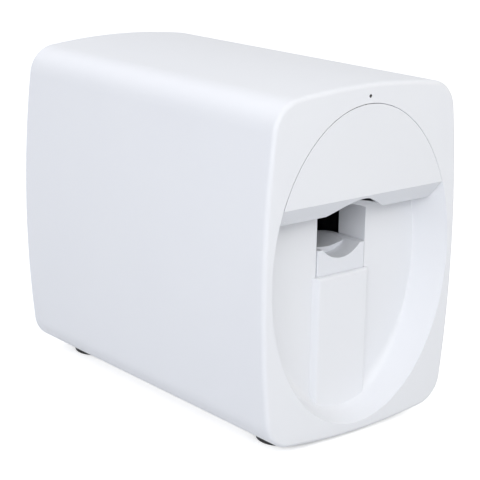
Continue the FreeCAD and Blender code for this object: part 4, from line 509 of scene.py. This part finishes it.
# %% Socket heads
HEAD_STEPS = 24             # points round a head, four for each side of its socket
SOCKET_SHARE = 0.5          # the socket's reach to a corner, as a share of the head's radius
MOUTH_SHARE = 1.12          # the round mouth's radius, as a share of that reach
HEAD_SIDE = 0.8             # where the side ends and the bevel begins, as a share of the height
HEAD_TOP = 0.9              # where the bevel ends, as a share of the radius
SOCKET_EDGE = 0.9           # where the socket becomes six-sided, as a share of the height
SOCKET_FLOOR = 0.45         # its floor, as a share of the height
WELD = 1e-7                 # points nearer than this in metres become one


def hexagon_points(corner, height, steps):
    """Points of a level hexagon round the Z axis whose corners lie as far out as corner."""
    side = steps // 6
    points = []
    for step in range(steps):
        lean = (step % side) / side * math.pi / 3 - math.pi / 6
        reach = corner * math.cos(math.pi / 6) / math.cos(lean)
        turn = 2 * math.pi * step / steps
        points.append((reach * math.cos(turn), reach * math.sin(turn), height))
    return points


def socket_head(mesh, radius, height, matrix, material=0):
    """A turned screw head with a hexagonal socket in its top."""
    corner = radius * SOCKET_SHARE
    mouth = corner * MOUTH_SHARE
    outer = [circle_points(r, z, HEAD_STEPS) for r, z in
             ((radius, 0.0), (radius, height * HEAD_SIDE), (radius * HEAD_TOP, height), (mouth, height))]
    inner = [circle_points(mouth, height, HEAD_STEPS),
             hexagon_points(corner, height * SOCKET_EDGE, HEAD_STEPS),
             hexagon_points(corner, height * SOCKET_FLOOR, HEAD_STEPS)]
    for rings in (outer, inner):
        ring_skin(mesh, rings, matrix, material, closed=False)
    for ring in (inner[-1], outer[0]):
        cap = mesh.faces.new([mesh.verts.new(matrix @ Vector(point)) for point in ring])
        cap.material_index = material
    bmesh.ops.remove_doubles(mesh, verts=mesh.verts, dist=WELD)


print("points on each side of a socket:", HEAD_STEPS // 6)

# %% [markdown]
# ## Stepper motors
#
# A stepper is a stack of steel laminations between two cast aluminium bells, held by four screws
# through the corners. The stack is what gives it its fine lines. Real laminations are 0.5 mm thick.
# They are drawn at 1 mm, so that the grooves still show.

# %% Stepper motors
BELL = 4.5 * MM
LAMINATION = 1.0 * MM
GROOVE = 0.25 * MM
GROOVE_SHARE = 0.2          # how much of a sheet's thickness each sloping edge takes
CORNER = 3.0 * MM
END_BEVEL = 0.4 * MM
SCREW_RISE = 0.6 * MM
MOTOR_SCREW = 1.6 * MM
# The rear bearing's seat in mm, as radius and height above the bell, from its rim to its middle.
BEARING_SEAT = [(3.6, 0.0), (3.4, 0.4), (1.6, 0.4), (1.5, 0.1), (0.1, 0.1)]


def square_ring(half, corner, height):
    """A square with bevelled corners at one height."""
    near = half - corner
    return [(half, near, height), (near, half, height), (-near, half, height), (-half, near, height),
            (-half, -near, height), (-near, -half, height), (near, -half, height), (half, -near, height)]


def sheet_stack(half, start, end):
    """Rings of a stack of sheets with a groove between each and the next."""
    sheets = round((end - start) / LAMINATION)
    thick = (end - start) / sheets
    rings = []
    for sheet in range(sheets):
        foot = start + sheet * thick
        for inset, part in ((GROOVE, 0.0), (0.0, GROOVE_SHARE), (0.0, 1 - GROOVE_SHARE), (GROOVE, 1.0)):
            rings.append(square_ring(half - inset, CORNER, foot + part * thick))
    return rings


def stepper(name, axis, body):
    """A motor whose outer end, along axis, carries the screws and the rear bearing."""
    low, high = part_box(name)
    along = Vector(axis)
    length = abs((high - low).dot(along))
    half = max((high - low)[i] / 2 for i in range(3) if not axis[i])
    matrix = aim(axis, (low + high) / 2 - along * length / 2)
    end = length - SCREW_RISE
    drawing = bmesh.new()
    front_bell = [square_ring(half, CORNER, z) for z in (0.0, BELL)]
    rear_bell = [square_ring(half - inset, CORNER, z) for inset, z in
                 ((0.0, end - BELL), (0.0, end - END_BEVEL), (END_BEVEL, end))]
    for rings, material in ((front_bell, 1), (rear_bell, 1), (sheet_stack(half, BELL, end - BELL), 0)):
        ring_skin(drawing, rings, matrix, material)
    for x, y in ((1, 1), (1, -1), (-1, 1), (-1, -1)):
        place = Matrix.Translation((x * (half - CORNER), y * (half - CORNER), end))
        socket_head(drawing, MOTOR_SCREW, SCREW_RISE, matrix @ place, 2)
    lathe(drawing, [(r * MM, end + z * MM) for r, z in BEARING_SEAT], matrix, material=1)
    return piece_from(name + "_built", as_mesh(name, drawing), [motor_paint, aluminium, screw_steel],
                      body, "motor_case", name)


for motor in (stepper("y_motor", (0, 1, 0), "casing"), stepper("x_motor", (0, 1, 0), "gantry"),
              stepper("lift_motor", (0, 0, -1), "casing")):
    print(motor.name, "faces:", len(motor.data.polygons))

# %% [markdown]
# ## Toothed belt and pulleys
#
# A timing belt is a band of rubber with teeth on its inside, one every 2 mm. It can't slip, so the
# carriage always knows where it is. The band is drawn by walking round its loop in small steps,
# with two straight runs and two half circles, and the inner side steps in and out with the teeth.

# %% Belt
TOOTH_PITCH = 2.0 * MM
TOOTH_HEIGHT = 0.55 * MM
BELT_THICKNESS = 1.2 * MM
BELT_STEPS = 8              # steps of the walk from one tooth to the next
TOOTH_STEPS = (3, 4, 5)     # those of them that lie on the tooth


def loop_point(walk, span, radius):
    """The place after a walk along a loop round two centres, span apart, as (x, z)."""
    bend = math.pi * radius
    walk = walk % (2 * span + 2 * bend)
    if walk < span:
        return Vector((span / 2 - walk, radius))
    walk -= span
    if walk < bend:
        turn = math.pi / 2 + walk / radius
        return Vector((-span / 2 + radius * math.cos(turn), radius * math.sin(turn)))
    walk -= bend
    if walk < span:
        return Vector((-span / 2 + walk, -radius))
    turn = -math.pi / 2 + (walk - span) / radius
    return Vector((span / 2 + radius * math.cos(turn), radius * math.sin(turn)))


def toothed_belt():
    """The gantry's belt. Its loop stands upright, evenly about the machine's middle plane."""
    low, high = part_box("drive_belt")
    middle_z = (low.z + high.z) / 2
    outer = (high.z - low.z) / 2
    root = outer - BELT_THICKNESS
    span = high.x - low.x - 2 * outer
    steps = round((2 * span + 2 * math.pi * root) / TOOTH_PITCH) * BELT_STEPS
    rings = []
    for step in range(steps):
        tooth = TOOTH_HEIGHT if step % BELT_STEPS in TOOTH_STEPS else 0.0
        outside, inside = [loop_point(step / steps * (2 * span + 2 * math.pi * radius), span, radius)
                           for radius in (outer, root + TOOTH_HEIGHT - tooth)]
        corners = ((outside, low.y), (outside, high.y), (inside, high.y), (inside, low.y))
        rings.append([(point.x, y, point.y + middle_z) for point, y in corners])
    drawing = bmesh.new()
    ring_skin(drawing, rings + rings[:1], Matrix.Identity(4), closed=False)
    bmesh.ops.remove_doubles(drawing, verts=drawing.verts, dist=WELD)
    print("belt teeth:", steps // BELT_STEPS)
    return piece_from("toothed_belt", as_mesh("toothed_belt", drawing), [belt_rubber], "gantry",
                      "belt_rubber", "drive_belt")


belt = toothed_belt()
print(belt.name, "faces:", len(belt.data.polygons))

# %% Pulleys
PULLEY_TEETH = 16
PULLEY_STEPS = 6            # points of the drum from one groove to the next
GROOVE_STEPS = (2, 3, 4)    # those of them that lie in the groove
PULLEY_WIDTH = 5.4 * MM
RIM = 0.6 * MM
RIM_PROUD = 1.8 * MM
RIM_BEVEL = 0.3 * MM
SHAFT_RADIUS = 1.5 * MM
BORE_GAP = 0.05 * MM


def toothed_ring(radius, height):
    """A pulley's drum at one height, with a groove for each tooth of the belt."""
    points = []
    for step in range(PULLEY_TEETH * PULLEY_STEPS):
        turn = 2 * math.pi * step / (PULLEY_TEETH * PULLEY_STEPS)
        reach = radius - (TOOTH_HEIGHT if step % PULLEY_STEPS in GROOVE_STEPS else 0.0)
        points.append((reach * math.cos(turn), reach * math.sin(turn), height))
    return points


def pulley(name, body, has_shaft):
    """A toothed drum between two bevelled rims, on a shaft or with a bore."""
    low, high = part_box(name)
    radius = (high.z - low.z) / 2
    matrix = aim((0, 1, 0), Vector(((low.x + high.x) / 2, low.y, (low.z + high.z) / 2)))
    bore = SHAFT_RADIUS + BORE_GAP
    bevelled = radius - RIM_BEVEL
    drawing = bmesh.new()
    ring_skin(drawing, [toothed_ring(radius - RIM_PROUD, z) for z in (RIM, PULLEY_WIDTH - RIM)], matrix)
    for start in (0.0, PULLEY_WIDTH - RIM):
        rim = [(bore, start), (bevelled, start), (radius, start + RIM / 2),
               (bevelled, start + RIM), (bore, start + RIM)]
        lathe(drawing, rim + rim[:1], matrix, closed=False)
    if has_shaft:
        shaft = [(SHAFT_RADIUS - RIM_BEVEL, 0.0), (SHAFT_RADIUS, RIM_BEVEL),
                 (SHAFT_RADIUS, high.y - low.y)]
        lathe(drawing, shaft, matrix, material=1)
    return piece_from(name + "_toothed", as_mesh(name, drawing), [acetal, ground_steel], body,
                      "bushing", name)


for built in (pulley("drive_pulley", "drive_wheel", True), pulley("idler_pulley", "idler_wheel", False)):
    print(built.name, "faces:", len(built.data.polygons))

# %% [markdown]
# ## Socket screws
#
# Every screw has the same turned head, with a hexagonal socket for a small key, and only the
# lengths differ. The solid model keeps each set of screws in one node, so the script finds the
# separate screws by following connected edges, and draws a detailed one in each place.

# %% Finding the separate screws
SAME_POINT = 1e-6


def separate_parts(node):
    """The low corner, high corner and points of each connected part of a node's mesh."""
    drawing = bmesh.new()
    drawing.from_mesh(node.data)
    bmesh.ops.remove_doubles(drawing, verts=drawing.verts, dist=SAME_POINT)
    left = set(drawing.verts)
    parts = []
    while left:
        queue = [left.pop()]
        points = []
        while queue:
            vertex = queue.pop()
            points.append(node.matrix_world @ vertex.co)
            for edge in vertex.link_edges:
                other = edge.other_vert(vertex)
                if other in left:
                    left.remove(other)
                    queue.append(other)
        low = Vector([min(point[i] for point in points) for i in range(3)])
        high = Vector([max(point[i] for point in points) for i in range(3)])
        parts.append((low, high, points))
    drawing.free()
    return sorted(parts, key=lambda part: tuple(part[0]))


SCREW_NODES = ("case_screws", "base_screws", "board_screws")
print("screws:", [len(separate_parts(nodes[name])) for name in SCREW_NODES])

# %% Socket screws
SCREW_RADIUS = 1.5 * MM
HEAD_RADIUS = 2.8 * MM
HEAD_HEIGHT = 2.0 * MM
SCREW_PITCH = 0.5 * MM
SCREW_THREAD = 0.15 * MM
SCREW_STEPS = 16
HEAD_TEST = 2.0 * MM        # a point further from the screw's axis than this is on its head
END_TEST = 0.01 * MM        # a head that stops this far short of the high end is at the low one


def screw_axis(low, high, points):
    """The direction of a screw's long axis, from its tip to its head."""
    size = high - low
    middle = (low + high) / 2
    axis = Vector([1.0 if size[i] == max(size) else 0.0 for i in range(3)])
    offsets = [point - middle for point in points]
    head_end = max(offset.dot(axis) for offset in offsets
                   if (offset - axis * offset.dot(axis)).length > HEAD_TEST)
    return -axis if head_end < max(size) / 2 - END_TEST else axis


def socket_screws(name):
    """Detailed screws in the place of a node's plain ones."""
    drawing = bmesh.new()
    for low, high, points in separate_parts(nodes[name]):
        axis = screw_axis(low, high, points)
        whole = max(high - low)
        length = whole - HEAD_HEIGHT
        matrix = aim(axis, (low + high) / 2 + axis * (whole / 2 - HEAD_HEIGHT))
        socket_head(drawing, HEAD_RADIUS, HEAD_HEIGHT, matrix)
        rows = round(length / SCREW_PITCH) * 2
        shank = [(SCREW_RADIUS - (SCREW_THREAD if row % 2 else 0.0), -length * row / rows)
                 for row in range(rows + 1)]
        lathe(drawing, shank, matrix, steps=SCREW_STEPS)
    return piece_from(name + "_socketed", as_mesh(name, drawing), [screw_steel], "casing",
                      "screw_steel", name)


for name in SCREW_NODES:
    print(name, "faces:", len(socket_screws(name).data.polygons))

# %% [markdown]
# ## Ink cartridge
#
# The cartridge is a moulded tank with a print head in its snout. Its top has ribs for the fingers,
# and three dots show which inks it holds: cyan, magenta and yellow. The nozzle plate below is a thin
# gilt foil, and gold pads behind carry the signals. Ribs, foil and pads have flat sides, so they are
# blocks whose bevelled edges catch the light as moulded ones do. The dots are round, so a lathe
# draws them.

# %% Inks and gold
# Gold plating is bright and deep yellow. The ink marks are smooth plastic in each ink's colour.
gold = metal("gold_plating", "#E3B857", 0.2, 0.3, "x")
INKS = {
    "cyan": moulded_plastic("cyan_ink_mark", "#1C9CCB", "#1792C0", 0.35),
    "magenta": moulded_plastic("magenta_ink_mark", "#C8307F", "#BC2875", 0.35),
    "yellow": moulded_plastic("yellow_ink_mark", "#E8C91F", "#DDBE18", 0.35),
}
print("ink marks:", list(INKS), "and", gold.name)

# %% Grip ribs
RIBS = 5
RIB_START = 4 * MM
RIB_PITCH = 3 * MM
RIB_HALF_LENGTH = 12 * MM
RIB_HALF_WIDTH = 0.8 * MM
RIB_SUNK = 0.5 * MM
RIB_RISE = 0.8 * MM
RIB_BEVEL = 0.35 * MM
cartridge_low, cartridge_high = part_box("ink_cartridge")


def pillow(mesh, low, high, bevel):
    """A small block with bevelled edges."""
    made = bmesh.ops.create_cube(mesh, size=1.0)["verts"]
    for vertex in made:
        vertex.co = Vector([low[i] + (high[i] - low[i]) * (vertex.co[i] + 0.5) for i in range(3)])
    edges = list({edge for vertex in made for edge in vertex.link_edges})
    bmesh.ops.bevel(mesh, geom=edges, offset=bevel, segments=2, affect="EDGES")


def cartridge_piece(name, drawing, material):
    """A small piece that belongs to the cartridge and travels with the carriage."""
    return piece_from(name, as_mesh(name, drawing), [material], "carriage", "cartridge_shell")


drawing = bmesh.new()
for row in range(RIBS):
    y = cartridge_high.y - (RIB_START + RIB_PITCH * row)
    pillow(drawing, (-RIB_HALF_LENGTH, y - RIB_HALF_WIDTH, cartridge_high.z - RIB_SUNK),
           (RIB_HALF_LENGTH, y + RIB_HALF_WIDTH, cartridge_high.z + RIB_RISE), RIB_BEVEL)
ribs = cartridge_piece("cartridge_grip_ribs", drawing, black_abs)
print(ribs.name, "top at", round((cartridge_high.z + RIB_RISE) / MM, 1), "mm")

# %% Ink dots
DOT_PITCH = 8 * MM
DOT_FROM_FRONT = 14 * MM
DOT_SUNK = 0.1 * MM
# A dot's dome in mm, as radius and height, from its rim to its middle.
DOT_DOME = [(2.4, 0.0), (2.4, 0.3), (2.1, 0.45), (0.1, 0.5)]
for number, (ink, material) in enumerate(INKS.items()):
    place = Vector(((number - 1) * DOT_PITCH, cartridge_low.y + DOT_FROM_FRONT,
                    cartridge_high.z - DOT_SUNK))
    drawing = bmesh.new()
    lathe(drawing, [(r * MM, z * MM) for r, z in DOT_DOME], Matrix.Translation(place))
    dot = cartridge_piece(ink + "_ink_dot", drawing, material)
    print(dot.name, "at x =", round(place.x / MM, 1), "mm")

# %% Nozzle plate
CASING_FRONT = -cad_high.y  # the casing is as deep before the origin as behind it
SNOUT_SETBACK = 93 * MM     # from the casing's front to the middle of the print head
PLATE_HALF_LENGTH = 6 * MM
PLATE_HALF_WIDTH = 5 * MM
PLATE_PROUD = 0.05 * MM
PLATE_SUNK = 0.3 * MM
PLATE_BEVEL = 0.04 * MM
snout_y = CASING_FRONT + SNOUT_SETBACK
drawing = bmesh.new()
pillow(drawing, (-PLATE_HALF_LENGTH, snout_y - PLATE_HALF_WIDTH, cartridge_low.z - PLATE_PROUD),
       (PLATE_HALF_LENGTH, snout_y + PLATE_HALF_WIDTH, cartridge_low.z + PLATE_SUNK), PLATE_BEVEL)
foil = cartridge_piece("nozzle_plate", drawing, gold)
print(foil.name, "is", round((cartridge_low.z - PLATE_PROUD) / MM, 1), "mm above the table")

# %% Cartridge contacts
PAD_COLUMNS = 6
PAD_ROWS = 3
PAD_PITCH = 3 * MM
PAD_ROW_PITCH = 3.2 * MM
PAD_DROP = 4                # the lowest row is this many rows below the tank's middle
PAD_HALF_WIDTH = 0.9 * MM
PAD_HALF_HEIGHT = 1.0 * MM
PAD_PROUD = 0.1 * MM
PAD_BEVEL = 0.05 * MM
tank_middle = (cartridge_low + cartridge_high) / 2
drawing = bmesh.new()
for column in range(PAD_COLUMNS):
    for row in range(PAD_ROWS):
        x = (column - (PAD_COLUMNS - 1) / 2) * PAD_PITCH
        z = tank_middle.z + (row - PAD_DROP) * PAD_ROW_PITCH
        pillow(drawing, (x - PAD_HALF_WIDTH, cartridge_high.y - PAD_PROUD, z - PAD_HALF_HEIGHT),
               (x + PAD_HALF_WIDTH, cartridge_high.y + PAD_PROUD, z + PAD_HALF_HEIGHT), PAD_BEVEL)
pads = cartridge_piece("cartridge_contacts", drawing, gold)
print(pads.name, "count:", PAD_COLUMNS * PAD_ROWS)

# %% [markdown]
# ## Lamps and contacts
#
# A white LED is a blue chip under a yellow phosphor, so it looks yellow when it is off. The USB
# socket's tongue carries gold contacts on both faces. All of these are tiny, so a turned drop and
# a bevelled block say enough.

# %% LED phosphor
# Phosphor is a fine powder in clear resin, so it is matt and an even pale yellow.
phosphor = moulded_plastic("yellow_phosphor", "#E6D35A", "#DCC74C", 0.5)
LAMPS = 5
LAMP_BOARD_HALF = 25 * MM
LAMP_POST = 3.0 * MM
LAMP_REACH = LAMP_BOARD_HALF - 2 * LAMP_POST - HEAD_RADIUS    # the row stays clear of post and screw
LAMP_BOARD_FRONT = 12 * MM
LAMP_BOARD_DEPTH = 9 * MM
PHOSPHOR_STEPS = 24
# A drop of phosphor in mm, as radius and depth below the board, from its rim to its middle.
PHOSPHOR_DROP = [(1.15, -0.05), (1.1, 0.1), (0.7, 0.22), (0.1, 0.28)]
lamp_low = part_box("lamp_board")[0]
lamp_y = CASING_FRONT + LAMP_BOARD_FRONT + LAMP_BOARD_DEPTH / 2
for number in range(LAMPS):
    x = LAMP_REACH * (2 * number / (LAMPS - 1) - 1)
    drawing = bmesh.new()
    place = Matrix.Translation((x, lamp_y, lamp_low.z)) @ Matrix.Rotation(math.pi, 4, "X")
    lathe(drawing, [(r * MM, z * MM) for r, z in PHOSPHOR_DROP], place, steps=PHOSPHOR_STEPS)
    drop = piece_from(f"lamp_phosphor_{number}", as_mesh("phosphor", drawing), [phosphor], "casing",
                      "lens_glass")
    print(drop.name, "at x =", round(x / MM, 1), "mm")

# %% USB contacts
USB_CONTACTS = 6
USB_PITCH = 0.9 * MM
USB_HALF_WIDTH = 0.2 * MM
USB_HALF_THICKNESS = 0.06 * MM
USB_TIP = 1.2 * MM          # from the socket's mouth to a contact's tip
USB_ROOT = 5.6 * MM         # and to its root
USB_BEVEL = 0.02 * MM
TONGUE_HALF_THICKNESS = 0.35 * MM
usb_low, usb_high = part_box("usb_port")
usb_middle = (usb_low + usb_high) / 2
drawing = bmesh.new()
for column in range(USB_CONTACTS):
    x = usb_middle.x + (column - (USB_CONTACTS - 1) / 2) * USB_PITCH
    for side in (-1, 1):
        z = usb_middle.z + side * TONGUE_HALF_THICKNESS
        pillow(drawing, (x - USB_HALF_WIDTH, usb_high.y - USB_ROOT, z - USB_HALF_THICKNESS),
               (x + USB_HALF_WIDTH, usb_high.y - USB_TIP, z + USB_HALF_THICKNESS), USB_BEVEL)
piece_from("usb_contacts", as_mesh("usb_contacts", drawing), [gold], "casing", "port_steel")

# %% [markdown]
# ## Studio
#
# White goods are shown on a white sweep under big soft lights. The floor is plain white where the
# camera sees it, because the paper adds a glow that only the camera and reflections see. It still
# receives the object's shadow. Where the casing nearly touches the paper the glow fades out, so that
# the thin contact shadow under its edge stays. An ambient occlusion node with a reach of 10 mm finds
# those places.

# %% Floor
FLOOR_SIZE = 12.0
half = FLOOR_SIZE / 2
floor_mesh = bpy.data.meshes.new("floor")
floor_mesh.from_pydata([(-half, -half, 0), (half, -half, 0), (half, half, 0), (-half, half, 0)], [],
                       [(0, 1, 2, 3)])
floor = bpy.data.objects.new("floor", floor_mesh)
bpy.context.scene.collection.objects.link(floor)
print("floor", FLOOR_SIZE, "m wide")

# %% White paper
PAPER_FIBRE = 2 * MM
PAPER_GLOW = 0.78           # white that open paper adds for the camera
SHADED_GLOW = 0.1           # and that paper adds where the casing nearly touches it
CONTACT_REACH = 10 * MM
NEARLY_SHUT = 0.08          # openness up to which the paper counts as shaded
NEARLY_OPEN = 0.14          # openness from which it counts as open
OPENNESS_SAMPLES = 16


def either_ray(tree, first, second):
    """1 for rays of two kinds, and 0 for all others."""
    rays = add(tree, "ShaderNodeLightPath")
    return add(tree, "ShaderNodeMath", {0: rays.outputs[first], 1: rays.outputs[second]},
               operation="MAXIMUM")


paper, tree = new_material("white_paper_sweep")
seen = either_ray(tree, "Is Camera Ray", "Is Glossy Ray")
fibres = add(tree, "ShaderNodeTexNoise", {
    "Vector": add(tree, "ShaderNodeTexCoord").outputs["Object"], "Scale": 1 / PAPER_FIBRE, "Detail": 2.0})
tint = add(tree, "ShaderNodeMix", {
    "Factor": fibres.outputs["Fac"], "A": linear("#BCBEC1"), "B": linear("#C4C6C9")}, data_type="RGBA")
matt = add(tree, "ShaderNodeBsdfDiffuse", {"Color": tint.outputs["Result"]})
openness = add(tree, "ShaderNodeAmbientOcclusion", {"Distance": CONTACT_REACH},
               samples=OPENNESS_SAMPLES)
open_glow = add(tree, "ShaderNodeMapRange", {
    "Value": openness.outputs["AO"], "From Min": NEARLY_SHUT, "From Max": NEARLY_OPEN,
    "To Min": SHADED_GLOW, "To Max": PAPER_GLOW})
strength = add(tree, "ShaderNodeMath", {0: seen.outputs[0], 1: open_glow.outputs["Result"]},
               operation="MULTIPLY")
glow = add(tree, "ShaderNodeEmission", {"Color": (1, 1, 1, 1), "Strength": strength.outputs[0]})
finish_surface(tree, add(tree, "ShaderNodeAddShader", {0: matt.outputs[0], 1: glow.outputs[0]}))
floor.data.materials.append(paper)
print("paper glows", PAPER_GLOW, "in the open and", SHADED_GLOW, "at a contact")

# %% World
WALL_LIGHT = 0.7
CEILING_LIGHT = 0.68
world = bpy.data.worlds.new("studio")
bpy.context.scene.world = world
world.use_nodes = True
tree = world.node_tree
tree.nodes.clear()
seen = either_ray(tree, "Is Camera Ray", "Is Transmission Ray")
ray = add(tree, "ShaderNodeSeparateXYZ", {
    "Vector": add(tree, "ShaderNodeTexCoord").outputs["Generated"]})
level = add(tree, "ShaderNodeMapRange", {
    "Value": ray.outputs["Z"], "From Min": 0.0, "From Max": 1.0,
    "To Min": WALL_LIGHT, "To Max": CEILING_LIGHT})
room = add(tree, "ShaderNodeBackground", {
    "Color": linear("#FDFEFF"), "Strength": level.outputs["Result"]})
white = add(tree, "ShaderNodeBackground", {"Color": (1, 1, 1, 1), "Strength": 1.0})
both = add(tree, "ShaderNodeMixShader", {0: seen.outputs[0], 1: room.outputs[0], 2: white.outputs[0]})
add(tree, "ShaderNodeOutputWorld", {"Surface": both.outputs[0]})
print("world:", world.name)

# %% [markdown]
# ## Lights
#
# Soft boxes stand round the machine, 0.7 to 1 m wide, so the shading on white plastic stays gentle.
# The strongest hangs high in front, and three more on the left carry the long flank. Those on the
# left and behind are faintly blue, and the one on the right is warm, so the white isn't dead.

# %% Soft boxes


def soft_box(name, place, target, width, height, watts, colour):
    """A rectangular area light that points at a target."""
    data = bpy.data.lights.new(name, "AREA")
    data.shape = "RECTANGLE"
    data.size, data.size_y = width, height
    data.energy = watts
    data.color = linear(colour)[:3]
    lamp = bpy.data.objects.new(name, data)
    bpy.context.scene.collection.objects.link(lamp)
    lamp.location = place
    lamp.rotation_mode = "QUATERNION"
    lamp.rotation_quaternion = (Vector(target) - Vector(place)).to_track_quat("-Z", "Y")
    return lamp


object_middle = (cad_low + cad_high) / 2
LIGHTS = [
    # name, place in metres, width, height, watts, colour
    ("front_high_box", (-0.2, -1.1, 1.1), 0.9, 0.9, 4.43, "#FFFDF7"),
    ("left_front_box", (-1.3, -0.75, 0.5), 0.7, 0.7, 3.43, "#F9F9FF"),
    ("rear_top_box", (-0.3, 0.9, 1.1), 1.0, 1.0, 2.89, "#F7F6FF"),
    ("camera_side_box", (-0.9, -1.1, 0.5), 0.9, 0.9, 2.58, "#FBFCFF"),
    ("right_front_box", (1.2, -0.9, 0.5), 0.9, 0.9, 1.09, "#FFE4BB"),
    ("left_high_box", (-1.0, 0.1, 1.1), 0.9, 0.9, 0.52, "#D6DCFF"),
]
for name, place, width, height, watts, colour in LIGHTS:
    soft_box(name, place, object_middle, width, height, watts, colour)

# %% [markdown]
# ## Camera
#
# The camera stands in front of the machine, to its left and a little above, at nearly nine
# tenths of a metre, with a long lens so that the flank keeps its calm perspective. Its direction is
# set as on a tripod's head, with three turns: a heading, a tilt downward and a small roll.

# %% Camera
LENS = 110.8                            # mm
SENSOR_WIDTH = 36.0                     # mm
CAMERA_PLACE = (-0.52597, -0.64057, 0.31611)
HEADING = math.radians(-39.8186)        # turned to the right from looking along +Y
DOWNWARD = math.radians(15.6185)        # tilted down from level
ROLL = math.radians(1.0132)             # turned about the line of sight
NEAR_CLIP = 0.01
FAR_CLIP = 20

camera_data = bpy.data.cameras.new("camera")
camera_data.lens = LENS
camera_data.sensor_width = SENSOR_WIDTH
camera_data.clip_start, camera_data.clip_end = NEAR_CLIP, FAR_CLIP
camera = bpy.data.objects.new("camera", camera_data)
bpy.context.scene.collection.objects.link(camera)
camera.matrix_world = (Matrix.Translation(CAMERA_PLACE)
                       @ Matrix.Rotation(HEADING, 4, "Z")
                       @ Matrix.Rotation(math.pi / 2 - DOWNWARD, 4, "X")
                       @ Matrix.Rotation(ROLL, 4, "Z"))
bpy.context.scene.camera = camera
bpy.context.scene.view_settings.view_transform = "Standard"
print("camera", round(camera.location.length, 3), "m from the origin")
